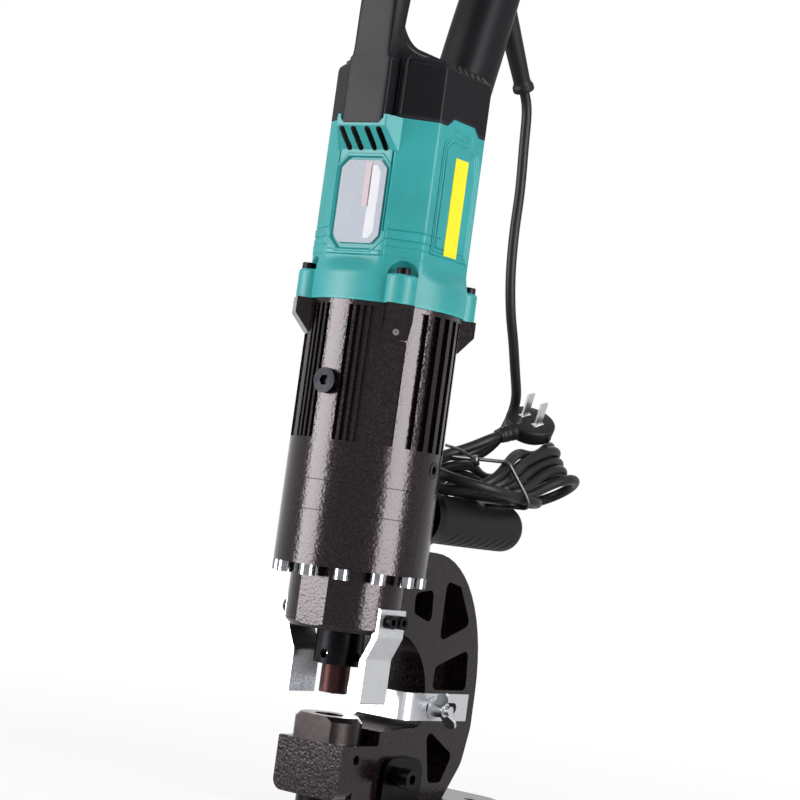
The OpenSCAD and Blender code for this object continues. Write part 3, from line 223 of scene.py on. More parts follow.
class PunchColours(bpy.types.PropertyGroup):
    nylon_teal: colour_setting("Teal nylon", "Colour of the motor housing", "#2F9C9D")
    nylon_black: colour_setting("Black nylon", "Colour of the rear cap and handle", "#121216")
    hammertone: colour_setting("Hammertone", "Ground colour of the hammertone enamel", "#140D0E")
    cord: colour_setting("Cord", "Colour of the cord's jacket and its plug", "#1B1B1D")
    strip: colour_setting("Strip", "Colour of the side strip", "#F2E52C")


class PunchHousingSizes(bpy.types.PropertyGroup):
    edge_round: length_setting("Edge radius", "How round the octagon's edges are", 0.0006, 0.0002, 0.002)
    groove_depth: length_setting("Groove depth", "Depth of the housing's fine grooves", 0.0007, 0.0002, 0.0015)
    columns: bpy.props.IntProperty(
        name="Columns", description="Points round the housing", default=880, min=200, max=1600,
    )


class PunchCordSizes(bpy.types.PropertyGroup):
    diameter: length_setting("Diameter", "Diameter of the mains cord", CORD_D * MM, 0.005, 0.009)
    turns: bpy.props.IntProperty(
        name="Turns", description="Turns of the hank on the side grip", default=5, min=3, max=5,
    )


class PunchCameraSizes(bpy.types.PropertyGroup):
    azimuth: angle_setting("Azimuth", "Camera's turn from the front towards the right", 36)
    distance: length_setting("Distance", "Camera's distance from the punch's axis", 1.375, 0.5, 4)
    height: length_setting("Height", "Camera's height over the floor", 0.186, 0, 2)
    yaw: angle_setting("Yaw", "Turn of the aim to the right", 0.70)
    pitch: angle_setting("Pitch", "Turn of the aim upwards", 3.14)
    roll: angle_setting("Roll", "Turn of the camera about its aim", 7.8)
    lens: bpy.props.FloatProperty(
        name="Lens", description="Focal length", default=99, min=20, max=200, unit="CAMERA",
    )


# ---- materials ----

def add_node(tree, node, links=(), values=(), stops=(), **settings):
    """Adds a node by the name of its kind, or takes one that is there already, and gives it its settings,
    its sockets' values, what is linked into them, and a ramp's stops: position and linear colour."""
    if isinstance(node, str):
        node = tree.nodes.new(node)
    for name, value in settings.items():
        setattr(node, name, value)
    for socket, value in dict(values).items():
        node.inputs[socket].default_value = value
    for socket, source in dict(links).items():
        tree.links.new(source, node.inputs[socket])
    for at, (position, rgb) in enumerate(stops):
        node.color_ramp.elements[at].position = position
        node.color_ramp.elements[at].color = (*rgb, 1)
    return node


def start_material(name):
    """A new material: its tree, its principled shader and the piece's own coordinates, in metres."""
    made = bpy.data.materials.new(name)
    made.use_nodes = True
    tree = made.node_tree
    shader = tree.nodes["Principled BSDF"]
    place = add_node(tree, "ShaderNodeTexCoord").outputs["Object"]
    return made, tree, shader, place


def scaled(rgb, times):
    """A linear colour made lighter or darker."""
    return tuple(min(c * times, 1) for c in rgb)


def moulded(name, rgb, roughness, grain_mm, grain_depth_mm, edge=1.5, bloom=0.12, ior=1.53):
    """A moulded polymer: a fine spark-eroded grain from the mould, slightly uneven gloss in patches 36 mm
    across, and edges made paler by the edge factor: partly wear from handling, partly a painted highlight
    where rounded edges catch the light. The grain is drawn a few times coarser than real so that it shows."""
    made, tree, shader, place = start_material(name)
    grain = add_node(tree, "ShaderNodeTexNoise", {"Vector": place},
                     {"Scale": 1 / (grain_mm * MM), "Detail": 3, "Roughness": 0.6})
    patches = add_node(tree, "ShaderNodeTexNoise", {"Vector": place}, {"Scale": 1 / (35.714 * MM), "Detail": 3})
    shape = add_node(tree, "ShaderNodeNewGeometry")
    # Pointiness paints convex edges paler by the edge factor: partly wear from handling, partly a painted highlight
    # where rounded edges catch the light.
    edge_wear_and_highlight = add_node(tree, "ShaderNodeMapRange", {"Value": shape.outputs["Pointiness"]},
                    {"From Min": 0.515, "From Max": 0.60})
    base = add_node(tree, "ShaderNodeValToRGB", {"Fac": patches.outputs["Fac"]},
                    stops=((0.35, scaled(rgb, 0.93)), (0.65, scaled(rgb, 1.07))))
    wear_and_highlight_colour = add_node(tree, "ShaderNodeMix", {0: edge_wear_and_highlight.outputs["Result"], 6: base.outputs["Color"]},
                      {7: (*scaled(rgb, edge), 1)}, data_type="RGBA")
    gloss = add_node(tree, "ShaderNodeMapRange", {"Value": patches.outputs["Fac"]},
                     {"To Min": roughness - bloom / 2, "To Max": roughness + bloom / 2})
    bump = add_node(tree, "ShaderNodeBump", {"Height": grain.outputs["Fac"]},
                    {"Strength": 0.5, "Distance": grain_depth_mm * MM})
    add_node(tree, shader, {"Base Color": wear_and_highlight_colour.outputs[2], "Roughness": gloss.outputs["Result"],
                            "Normal": bump.outputs["Normal"]}, {"IOR": ior})
    return made


def hammertone_enamel(name, rgb):
    """Hammer-finish enamel on cast iron: aluminium flake in the paint draws together into dimples about
    2 mm across, so a highlight breaks into pale pinkish specks over a near-black brown ground."""
    made, tree, shader, place = start_material(name)
    dimples = add_node(tree, "ShaderNodeTexVoronoi", {"Vector": place},
                       {"Scale": 1 / (2.1 * MM), "Randomness": 1.0, "Smoothness": 0.6}, feature="SMOOTH_F1")
    mottle = add_node(tree, "ShaderNodeTexNoise", {"Vector": place},
                      {"Scale": 1 / (1.5 * MM), "Detail": 2, "Roughness": 0.5})
    height = add_node(tree, "ShaderNodeMath", {0: dimples.outputs["Distance"], 1: mottle.outputs["Fac"]},
                      operation="ADD")
    flake = add_node(tree, "ShaderNodeValToRGB", {"Fac": mottle.outputs["Fac"]},
                     stops=((0.40, scaled(rgb, 0.5)), (0.66, scaled(rgb, 2.2))))
    shine = add_node(tree, "ShaderNodeMapRange", {"Value": mottle.outputs["Fac"]},
                     {"From Min": 0.35, "From Max": 0.65, "To Min": 0.14, "To Max": 0.22})
    bump = add_node(tree, "ShaderNodeBump", {"Height": height.outputs[0]},
                    {"Strength": 0.6, "Distance": 0.12 * MM})
    add_node(tree, shader, {"Base Color": flake.outputs["Color"], "Roughness": shine.outputs["Result"],
                            "Normal": bump.outputs["Normal"]},
             {"IOR": 1.31, "Specular Tint": (1.0, 0.90, 0.93, 1)})
    return made


def metal(name, code, roughness, mark_mm=(0.15, 0.15, 2.5), tone=0.12, bump=0.02, metallic=1.0, stain=None):
    """A bare or plated metal: fine tool or brush marks, longer one way than the other, and patches of
    duller skin 11 mm across. The marks are drawn coarser than real so that they show in the render."""
    made, tree, shader, place = start_material(name)
    rgb = to_linear(code)
    stretched = add_node(tree, "ShaderNodeMapping", {"Vector": place},
                         {"Scale": [1 / (m * MM) for m in mark_mm]})
    marks = add_node(tree, "ShaderNodeTexNoise", {"Vector": stretched.outputs["Vector"]},
                     {"Scale": 1.0, "Detail": 3, "Roughness": 0.6})
    patches = add_node(tree, "ShaderNodeTexNoise", {"Vector": place},
                       {"Scale": 1 / (11.111 * MM), "Detail": 5, "Roughness": 0.65})
    base = add_node(tree, "ShaderNodeValToRGB", {"Fac": patches.outputs["Fac"]},
                    stops=((0.3, stain or scaled(rgb, 1 - tone * 1.6)), (0.6, scaled(rgb, 1 + tone))))
    dull = add_node(tree, "ShaderNodeMapRange", {"Value": marks.outputs["Fac"]},
                    {"From Min": 0.3, "From Max": 0.7, "To Min": roughness * 0.75, "To Max": roughness * 1.35})
    lift = add_node(tree, "ShaderNodeBump", {"Height": marks.outputs["Fac"]},
                    {"Strength": 0.5, "Distance": bump * MM})
    add_node(tree, shader, {"Base Color": base.outputs["Color"], "Roughness": dull.outputs["Result"],
                            "Normal": lift.outputs["Normal"]}, {"Metallic": metallic})
    return made


def wound_copper(name):
    """Enamelled copper wire laid side by side in the windings, 0.6 mm wire drawn at 1 mm."""
    made, tree, shader, place = start_material(name)
    wires = add_node(tree, "ShaderNodeTexWave", {"Vector": place}, {"Scale": 1 / (6.3 * MM), "Distortion": 1.5},
                     wave_type="RINGS", rings_direction="Z")
    base = add_node(tree, "ShaderNodeValToRGB", {"Fac": wires.outputs["Fac"]},
                    stops=((0.2, to_linear("#7A3A1C")), (0.8, to_linear("#C8733E"))))
    bump = add_node(tree, "ShaderNodeBump", {"Height": wires.outputs["Fac"]},
                    {"Strength": 0.6, "Distance": 0.2 * MM})
    add_node(tree, shader, {"Base Color": base.outputs["Color"], "Normal": bump.outputs["Normal"]},
             {"Metallic": 0.8, "Roughness": 0.38})
    return made


def printed_plate(name):
    """A satin anodised aluminium nameplate, left bare: pale lilac grey with a faint rolling grain, 0.11 mm
    across and 3.3 mm long. Its film makes it as matt as paint, so it isn't drawn as a metal."""
    made, tree, shader, place = start_material(name)
    grain = add_node(tree, "ShaderNodeMapping", {"Vector": place},
                     {"Scale": [1 / (m * MM) for m in (0.11111, 0.11111, 3.3333)]})
    lines = add_node(tree, "ShaderNodeTexNoise", {"Vector": grain.outputs["Vector"]},
                     {"Scale": 1.0, "Detail": 2})
    base = add_node(tree, "ShaderNodeValToRGB", {"Fac": lines.outputs["Fac"]},
                    stops=((0.3, to_linear("#A9AFBB")), (0.7, to_linear("#C0C6D0"))))
    gloss = add_node(tree, "ShaderNodeMapRange", {"Value": lines.outputs["Fac"]},
                     {"To Min": 0.34, "To Max": 0.5})
    add_node(tree, shader, {"Base Color": base.outputs["Color"], "Roughness": gloss.outputs["Result"]},
             {"IOR": 1.15})
    return made


def slot_shadow(name):
    """Painted shade for the unlit inside seen through the housing's air slots and the cap's louvres: a near-black
    colour on the groove faces, with a random tone in 1.4 mm specks.
    """
    made, tree, shader, place = start_material(name)
    shade_speckle = add_node(tree, "ShaderNodeTexNoise", {"Vector": place}, {"Scale": 1 / (1.4286 * MM), "Detail": 4})
    base = add_node(tree, "ShaderNodeValToRGB", {"Fac": shade_speckle.outputs["Fac"]},
                    stops=((0.35, to_linear("#050607")), (0.65, to_linear("#111315"))))
    add_node(tree, shader, {"Base Color": base.outputs["Color"]}, {"Roughness": 0.85})
    return made


# The materials by a short name, filled in by make_finishes.
FINISH = {}


def make_finishes(colours):
    """Makes every material, from the user's colours and the rest's own."""
    FINISH.update({
        # Glass-filled nylon comes satin and a little cloudy from the mould; the black's edges are painted grey, partly
        # as wear and partly as a painted highlight.
        "nylon_teal": moulded("moulded_glass_filled_nylon_teal", colours.nylon_teal, 0.48, 0.9, 0.05,
                              edge=1.3, ior=1.27),
        "nylon_black": moulded("moulded_glass_filled_nylon_black", colours.nylon_black, 0.45, 0.7, 0.05,
                               edge=3.4, ior=1.15),
        # Unfilled nylon is smoother: a sheen along the tie, and a milky white in the fan and the plug.
        "nylon_tie": moulded("extruded_nylon_tie", to_linear("#1C1C1E"), 0.38, 0.6, 0.02, edge=2.0),
        "nylon_white": moulded("moulded_natural_nylon", to_linear("#DAD8CE"), 0.42, 0.8, 0.03, edge=1.1),
        # Rubber and soft PVC: near black, matt, with one broad and weak highlight along each round.
        "rubber_black": moulded("overmoulded_thermoplastic_rubber", colours.cord, 0.52, 0.5, 0.04, ior=1.18),
        "pvc_cord": moulded("extruded_pvc_cord_jacket", colours.cord, 0.44, 0.8, 0.03, edge=1.2, ior=1.20),
        "pvc_plug": moulded("moulded_pvc_plug", scaled(colours.cord, 0.9), 0.48, 0.6, 0.03, edge=1.8, ior=1.18),
        "nitrile": moulded("moulded_nitrile_rubber", to_linear("#222326"), 0.6, 0.6, 0.03, edge=1.2, ior=1.52),
        "urethane": moulded("cast_urethane_seal", to_linear("#3C6B55"), 0.42, 0.6, 0.02, edge=1.2, ior=1.5),
        "graphite": moulded("pressed_carbon_graphite", to_linear("#1A1A1C"), 0.55, 0.5, 0.05, edge=1.6),
        # Printed film and ink: flat bright colour under an even, thin gloss.
        "strip": moulded("printed_polyester_strip_yellow", colours.strip, 0.36, 0.8, 0.01,
                         edge=1.1, bloom=0.06, ior=1.25),
        "plate_white": moulded("printed_white_band", to_linear("#DCDCE2"), 0.4, 0.8, 0.01,
                               edge=1.0, bloom=0.05, ior=1.2),
        "plate_pink": moulded("printed_pale_pink_band", to_linear("#C9B4BA"), 0.4, 0.8, 0.01,
                              edge=1.0, bloom=0.05, ior=1.2),
        "plate": printed_plate("anodised_aluminium_plate"),
        "hammertone": hammertone_enamel("hammertone_enamel_on_cast_iron", colours.hammertone),
        # Zinc plating is pale and satin, with faint lines from the rolled sheet; the bolts' is brighter.
        "zinc": metal("zinc_plated_steel", "#B4B5B9", 0.30, (0.2, 3.0, 0.2), 0.02, bump=0.004),
        "chrome_bolt": metal("bright_zinc_socket_head", "#77787C", 0.16, (0.2, 0.2, 2.0), 0.2),
        # Ground steel streaks its highlight across the grinding; oxide blacking leaves a dull gleam.
        "bright": metal("ground_bright_steel", "#C9CACC", 0.24, (3.0, 0.2, 0.2), 0.08),
        "black_oxide": metal("black_oxide_steel", "#101012", 0.34, (0.3, 0.3, 0.3), 0.35),
        # Hardened and oiled tool steel: near black with a brown cast, and turning marks round it.
        "die_steel": metal("oiled_die_steel", "#1F1A1A", 0.28, (0.2, 0.2, 2.0), 0.3, metallic=0.85),
        "punch_steel": metal("oiled_tool_steel", "#2C1513", 0.33, (0.2, 0.2, 2.0), 0.3, metallic=0.85,
                             stain=to_linear("#200F0E")),
        # Castings and core plates inside, seen only when the punch is taken apart.
        "bronze": metal("cast_tin_bronze", "#A67C45", 0.34, (0.4, 0.4, 0.4), 0.15),
        "laminations": metal("laminated_core_steel", "#77797D", 0.42, (4.0, 4.0, 0.5), 0.2, bump=0.12),
        "aluminium": metal("die_cast_aluminium", "#B2B5B8", 0.40, (0.8, 0.8, 0.8), bump=0.05),
        "copper": wound_copper("enamelled_copper_winding"),
        # Painted shade: near black where the inside of the slots and louvres lies unlit.
        "slot_painted_shade": slot_shadow("painted_shade_slot_inside"),
    })


# CAD nodes that keep their own shape, by finish.
NODE_FINISH = {
    "hammertone": ["c_frame", "cylinder", "pump_housing"],
    "zinc": ["stripper_left", "stripper_right", "gauge_plate", "wing_nut", "gauge_washer", "gauge_stud",
             "plug_pins", "plungers"],
    "chrome_bolt": ["frame_bolts", "bleed_screw"],
    "bright": ["piston_rod", "return_spring", "pump_block", "plunger_springs", "relief_valve",
               "front_bearing", "rear_bearing", "eccentric_bearing", "side_stud"],
    "black_oxide": ["base_plate", "base_brackets", "base_screws", "die_set_screw", "stripper_screws",
                    "punch_nut", "port_plug", "oil_filler_plug", "plunger_plugs", "handle_screws",
                    "side_collar"],
    "punch_steel": ["punch"],
    "die_steel": ["die"],
    "bronze": ["guide_bush", "brush_holders"],
    "laminations": ["stator"],
    "copper": ["armature"],
    "aluminium": ["bearing_plate"],
    "nitrile": ["oil_bladder", "shaft_seal"],
    "urethane": ["piston_seal"],
    "graphite": ["carbon_brushes"],
    "nylon_white": ["cooling_fan"],
    "nylon_black": ["trigger", "lock_button", "switch_body"],
    "plate": ["nameplate"],
    "strip": ["side_strip"],
}
# The record's material slot that each finish of a new piece stands for.
SLOT = {
    "nylon_teal": "teal_paint", "nylon_black": "black_plastic", "nylon_tie": "black_plastic",
    "pvc_plug": "black_plastic", "pvc_cord": "cord_rubber", "rubber_black": "grip_rubber",
    "nylon_white": "white_nylon", "black_oxide": "black_steel", "hammertone": "hammertone",
    "plate_white": "plate_metal", "plate_pink": "plate_metal",
}
# CAD nodes whose machined or cast edges get a small round, in millimetres.
EDGE_ROUND = {
    "c_frame": 0.7, "base_plate": 0.5, "base_brackets": 0.5, "stripper_left": 0.35, "stripper_right": 0.35,
    "punch_nut": 0.5, "side_collar": 0.5, "gauge_plate": 0.25, "trigger": 0.8, "lock_button": 0.5,
    "cylinder": 0.4, "oil_filler_plug": 0.5, "pump_housing": 0.3, "bleed_screw": 0.4, "wing_nut": 0.5,
}


# ---- mesh helpers ----

def new_piece(name, points, faces, finish, smooth=True):
    """A mesh piece from points in millimetres, which rides on the punch's body."""
    mesh = bpy.data.meshes.new(name)
    points = np.asarray(points, dtype=np.float64).reshape(-1, 3) * MM
    if isinstance(faces, np.ndarray):
        mesh.vertices.add(len(points))
        mesh.vertices.foreach_set("co", points.astype(np.float32).ravel())
        sides = faces.shape[1]
        mesh.loops.add(faces.size)
        mesh.loops.foreach_set("vertex_index", faces.astype(np.int32).ravel())
        mesh.polygons.add(len(faces))
        mesh.polygons.foreach_set("loop_start", np.arange(0, faces.size, sides, dtype=np.int32))
        mesh.update(calc_edges=True)
    else:
        mesh.from_pydata(points.tolist(), [], [list(f) for f in faces])
    mesh.validate()
    mesh.update()
    if smooth:
        mesh.polygons.foreach_set("use_smooth", [True] * len(mesh.polygons))
    piece = bpy.data.objects.new(name, mesh)
    bpy.context.scene.collection.objects.link(piece)
    mesh.materials.append(FINISH[finish])
    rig.ride(piece, "tool_body")
    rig.slot(piece, SLOT[finish])
    return piece


def grid_faces(rows, columns, close_rows=False):
    """Quads over a grid of points that closes on itself along each row."""
    r = np.arange(rows if close_rows else rows - 1)[:, None]
    c = np.arange(columns)[None, :]
    nxt, up = (c + 1) % columns, (r + 1) % rows
    quads = np.stack([r * columns + c, r * columns + nxt, up * columns + nxt, up * columns + c], axis=-1)
    return quads.reshape(-1, 4)


def capped_faces(rows, columns):
    """The quads of a grid and a fan at each end, round a middle point added after the grid."""
    faces = [tuple(f) for f in grid_faces(rows, columns)]
    low, high, last = rows * columns, rows * columns + 1, (rows - 1) * columns
    for c in range(columns):
        n = (c + 1) % columns
        faces += [(low, n, c), (high, last + c, last + n)]
    return faces


def lofted(name, rings, finish):
    """A closed skin over rings of points, with a fan in each end."""
    rings = np.asarray(rings)
    ends = [rings[0].mean(axis=0), rings[-1].mean(axis=0)]
    points = np.vstack([rings.reshape(-1, 3), ends])
    return new_piece(name, points, capped_faces(len(rings), rings.shape[1]), finish)


def lofted_ring(name, rings, finish):
    """A closed skin over rings that run round and join up again."""
    rings = np.array(rings)
    # Each ring is turned a little more, so that the last one matches the first where the path closes.
    gaps = [np.linalg.norm(np.roll(rings[0], k, axis=0) - rings[-1], axis=1).sum()
            for k in range(rings.shape[1])]
    shift, last = int(np.argmin(gaps)), len(rings) - 1
    rings = np.array([np.roll(ring, -int(round(shift * i / last)), axis=0) for i, ring in enumerate(rings)])
    return new_piece(name, rings, grid_faces(len(rings), rings.shape[1], close_rows=True), finish)


def ring_about(centre, turn, along, sides, radius_at):
    """A ring round an axis, a distance along it, with its radius at each angle."""
    ring = []
    for k in range(sides):
        a = 2 * math.pi * k / sides
        r = radius_at(a)
        ring.append(tuple(centre + turn @ Vector((r * math.cos(a), r * math.sin(a), along))))
    return ring


def turned(name, profile, axis_point, axis, finish, sides, relief=None):
    """A lathe shape: profile pairs of (distance along the axis, radius) in millimetres."""
    turn = Vector((0, 0, 1)).rotation_difference(Vector(axis)).to_matrix()
    rings = [ring_about(Vector(axis_point), turn, along, sides,
                        lambda a: radius - (relief(a, along) if relief else 0))
             for along, radius in profile]
    return lofted(name, rings, finish)


def along_path(points, radius, sides, closed=False):
    """Rings of points round a path, turning as little as they can from one to the next."""
    pts = [Vector(p) for p in points]
    rings, side = [], None
    for i, p in enumerate(pts):
        a = pts[i - 1] if i or closed else pts[i]
        b = pts[(i + 1) % len(pts)] if i + 1 < len(pts) or closed else pts[i]
        way = (b - a).normalized()
        if side is None:
            side = way.orthogonal().normalized()
        side = (side - way * side.dot(way)).normalized()
        other = way.cross(side)
        rings.append([tuple(p + (side * math.cos(t) + other * math.sin(t)) * radius)
                      for t in [2 * math.pi * k / sides for k in range(sides)]])
    return rings


def smooth_line(points, steps):
    """A smooth line through the points, with a few steps between each pair."""
    p = np.asarray(points, dtype=float)
    out = []
    for i in range(len(p) - 1):
        a, b, c, d = p[max(i - 1, 0)], p[i], p[i + 1], p[min(i + 2, len(p) - 1)]
        for t in np.arange(steps) / steps:
            out.append(0.5 * (2 * b + (c - a) * t + (2 * a - 5 * b + 4 * c - d) * t ** 2
                              + (3 * b - a - 3 * c + d) * t ** 3))
    out.append(p[-1])
    return np.array(out)


def step(low, high, value):
    """0 below low, 1 above high, and a smooth rise between."""
    t = np.clip((value - low) / (high - low), 0, 1)
    return t * t * (3 - 2 * t)


# ---- image points and the camera ----

FRAME_SIDE = 800
# Where things show in the photograph's frame of 800 by 800, in pixels.
IMAGE_POINTS = {
    "left edge": (272, 562),
    "right edge": (533, 89),
    "tie head": (475, 461),
    "plate middle": (360, 201),
    "plate white band": (372, 201),
    "plate pink band": (367, 184),
    "strip middle": (456.5, 207),
    "oil plug": (328, 380),
    "bleed screw": (395, 332),
    "port plug": (429, 470),
    "punch": (337, 674),
    "wing nut": (443, 710.5),
    "side grip end": (524, 531),
    "plug disc": (529.5, 425),
    "lobe screw": (404, 271.5),
}


class CameraView:
    """The camera's place and axes, and what they make of a point in the image or in space."""

    def __init__(self, sizes):
        a, y, p, r = sizes.azimuth, sizes.yaw, sizes.pitch, sizes.roll
        self.place = Vector((sizes.distance * math.sin(a), -sizes.distance * math.cos(a), sizes.height))
        ahead = Vector((-math.sin(a), math.cos(a), 0))
        right = Vector((math.cos(a), math.sin(a), 0))
        level = ahead * math.cos(y) + right * math.sin(y)
        aim = (level * math.cos(p) + Vector((0, 0, 1)) * math.sin(p)).normalized()
        flat = aim.cross(Vector((0, 0, 1))).normalized()
        self.up = flat.cross(aim) * math.cos(r) - flat * math.sin(r)
        self.right = self.up.cross(-aim)
        self.aim = aim
        self.lens, self.sensor = sizes.lens, 36.0

    def ray(self, x, y, shift_x=0.0, shift_y=0.0):
        """The direction of the ray through an image point."""
        side = FRAME_SIDE
        local = (x - side / 2 + shift_x * side, side / 2 - y + shift_y * side, -side * self.lens / self.sensor)
        return (self.right * local[0] + self.up * local[1] - self.aim * local[2]).normalized()

    def shows_at(self, point):
        """Where a point in space, in metres, shows in the image."""
        d = Vector(point) - self.place
        k = FRAME_SIDE * self.lens / self.sensor / d.dot(self.aim)
        return FRAME_SIDE / 2 + d.dot(self.right) * k, FRAME_SIDE / 2 - d.dot(self.up) * k


def world_tree(objects):
    """A search tree of the finished and placed faces of some objects."""
    points, faces = [], []
    seen = bpy.context.evaluated_depsgraph_get()
    for o in objects:
        e = o.evaluated_get(seen)
        mesh = e.to_mesh()
        start = len(points)
        points += [e.matrix_world @ v.co for v in mesh.vertices]
        faces += [[start + i for i in f.vertices] for f in mesh.polygons]
        e.to_mesh_clear()
    return BVHTree.FromPolygons(points, faces)


def place_on(view, carriers, x, y):
    """Where the ray through an image point meets the carriers, in millimetres."""
    bpy.context.view_layer.update()
    tree = world_tree(carriers)
    way = view.ray(x, y)
    hit = tree.ray_cast(view.place, way)[0]
    if hit is None:
        # A miss takes the place nearest the ray, looked for every 4 mm of its way past the punch.
        tries = [tree.find_nearest(view.place + way * (far * MM)) for far in range(400, 2400, 4)]
        hit = min(tries, key=lambda found: found[3])[0]
    return hit / MM


# ---- the motor housing ----

LUG_ANGLES = [45, 135, 225, 315]
LUG_REACH, LOBE_R, LUG_SCREW_R, HOLLOW_R = 57.0, 9.5, 51.2, 9.9
LOBE_TOP = FLANGE_FOOT + 18
FLANGE_R = 49.6
BORE_R = 38.0
# The bump under the strap: how far it stands out, how far below the seam its slope starts and for how
# long it runs, its flanks' distance and how fast they come in forwards, and half the strap's notch in it.
BUMP_OUT, BUMP_START, BUMP_RUN, FLANK, FLANK_IN, NOTCH_HALF = 9.6, 20, 13, 39.55, 0.406, 16.1
# The cosine of the angle from the front up to which a place counts as in front.
IN_FRONT = 0.3
NOTCH_FLOOR = SEAM - 5
# Half width of the octagon's front face, and its bevels' depth in front and behind.
BEVEL_X, BEVEL_FRONT, BEVEL_BACK = 21.0, 14.5, 18.6


def outline_sides():
    """The octagon's sides: each one's direction, in radians from the front, and its distance."""
    sides = []
    for run, start in (((BEVEL_X, BEVEL_FRONT), (BEVEL_X, -HALF_Y)),
                       ((-BEVEL_X, BEVEL_BACK), (HALF_X, HALF_Y - BEVEL_BACK))):
        nx, ny = run[1], -run[0]
        length = math.hypot(nx, ny)
        nx, ny = nx / length, ny / length
        away = nx * start[0] + ny * start[1]
        sides += [(math.atan2(nx, -ny), away), (-math.atan2(nx, -ny), away)]
    return sides + [(0, HALF_Y), (math.pi, HALF_Y), (math.pi / 2, HALF_X), (-math.pi / 2, HALF_X)]


def soft_least(parts, k):
    """The least of some arrays, with the corner between them rounded over about k."""
    parts = np.stack(parts)
    least = parts.min(axis=0)
    return least - k * np.log(np.exp(-(parts - least) / k).sum(axis=0))


def outline_radius(angle, k, inset=0.0):
    """Distance from the axis to the octagon in a direction."""
    parts = []
    for side, away in outline_sides():
        facing = np.cos(angle - side)
        parts.append(np.where(facing > 0.1, (away - inset) / np.maximum(facing, 0.1), 1e3))
    return soft_least(parts, k)


def seam_height(angle, radius):
    """Height of the line between teal housing and black cap, with its tongue on each side face."""
    y = -radius * np.cos(angle)
    tongue = np.clip(np.minimum((y + 19.3) / 6.2, (15.3 - y) / 5.6), 0, 1)
    on_side = np.abs(np.sin(angle)) > 0.7
    return SEAM + np.where(on_side, 5.2 * tongue, 0)


def box_depth(x, z, half_w, low, high, chamfer=0.0):
    """How far outside a chamfered rectangle a place is: negative inside."""
    mid, half_h = (low + high) / 2, (high - low) / 2
    dx, dz = np.abs(x) - half_w, np.abs(z - mid) - half_h
    corner = (np.abs(x) + np.abs(z - mid) - half_w - half_h + chamfer) / math.sqrt(2)
    return np.maximum(np.maximum(dx, dz), corner)


def shape_depth(u, v, points):
    """How far outside a convex outline a place is: negative inside."""
    worst = np.full(u.shape, -1e3)
    for (a, b), (c, d) in zip(points, points[1:] + points[:1]):
        length = math.hypot(c - a, d - b)
        worst = np.maximum(worst, ((d - b) * (u - a) - (c - a) * (v - b)) / length)
    return worst


SIDE_PANEL = [(-20.5, 350), (21.8, 350), (21.8, 407), (18, 418.5), (8, 425.3), (-12, 425.8), (-20.5, 419)]
# How far inside the side panel its contour lines run.
PANEL_LINES = (0.0, 2.3, 4.6)
# The stepped lines low on the front bevels: how far below the seam, and each one's share of the depth.
BEVEL_LINES = ((68.6, 1.0), (74.6, 1.0), (79.2, 0.7))
# The air slots: their places across, half length of the straight part, half width, lean and depth.
SLOT_PLACES = (-13.9, -5.2, 5.2, 13.9)
SLOT_HALF, SLOT_R, SLOT_LEAN, SLOT_DEPTH = 4.6, 1.9, math.radians(11), 9


def with_bump(body, angle, z):
    """The body's radius with the bump in front that holds the air slots, and the strap's notch in it."""
    ahead = np.cos(angle)
    front, safe = ahead > IN_FRONT, np.maximum(ahead, IN_FRONT)
    face = HALF_Y + BUMP_OUT
    slope = HALF_Y + BUMP_OUT * (z - SEAM + BUMP_START) / BUMP_RUN
    flank = FLANK / (np.abs(np.sin(angle)) + FLANK_IN * safe)
    bump = soft_least([face / safe, slope / safe, flank], 0.35)
    r = np.where(front & (z > SEAM - 20.3), np.maximum(body, bump), body)
    x = r * np.sin(angle)
    notch = np.maximum(np.abs(x) - NOTCH_HALF + np.clip(NOTCH_FLOOR + 3 - z, 0, 3) * 0.9, NOTCH_FLOOR - z)
    sunk = np.minimum(r, r + (HALF_Y / safe - r) * step(0.15, -0.15, notch))
    return np.where(front & (z > SEAM - BUMP_START), sunk, r)


def with_lobes(r, angle, z):
    """The radius with a lobe for each housing screw, and a hollow over each for the key."""
    middle = LUG_REACH - LOBE_R
    size = LOBE_R - 1.2 * step(LOBE_TOP - 1.4, LOBE_TOP, z)
    for turn in LUG_ANGLES:
        off = (angle - math.radians(turn) + math.pi) % (2 * math.pi) - math.pi
        near = np.abs(off) < math.radians(30)
        under = size ** 2 - (middle * np.sin(off)) ** 2
        lobe = np.where(near & (under > 0) & (z < LOBE_TOP),
                        middle * np.cos(off) + np.sqrt(np.maximum(under, 0)), 0)
        ball = HOLLOW_R ** 2 - (z - LOBE_TOP) ** 2 - (LUG_SCREW_R * np.sin(off)) ** 2
        hollow = np.where(near & (ball > 0) & (z > LOBE_TOP),
                          LUG_SCREW_R * np.cos(off) - np.sqrt(np.maximum(ball, 0)), 1e3)
        r = np.minimum(np.maximum(r, lobe), hollow)
    return r


def plate_relief(x, z, front):
    """Depth of the plate's chamfered recess with its pad, less the raised rim round it and the ledge
    under it, and of the long grooves beside it."""
    flat = front & (np.abs(x) < 21.6) & (z < SEAM - 19.6)
    rim = box_depth(x, z, 19.0, SEAM - 81.6, SEAM - 24.4, 6.5)
    pad = box_depth(x, z, 17.4, SEAM - 78.2, SEAM - 26.3, 5.5)
    ledge = box_depth(x, z, 21.0, SEAM - 85.2, SEAM - 82.4, 1.5)
    cut = np.where(flat, 1.7 * step(0.35, -0.5, rim) - 0.65 * step(0.2, -0.3, pad), 0)
    cut -= np.where(flat, 0.55 * step(1.7, 1.3, np.abs(rim - 1.0) + 0.6), 0)
    cut -= np.where(front, 1.5 * step(0.4, -0.4, ledge), 0)
    cut += np.where(flat, 1.2 * step(0.75, 0.45, np.abs(np.abs(x) - 20.2))
                    * step(SEAM - 70.5, SEAM - 69.5, z) * step(SEAM - 19.9, SEAM - 20.6, z), 0)
    return cut


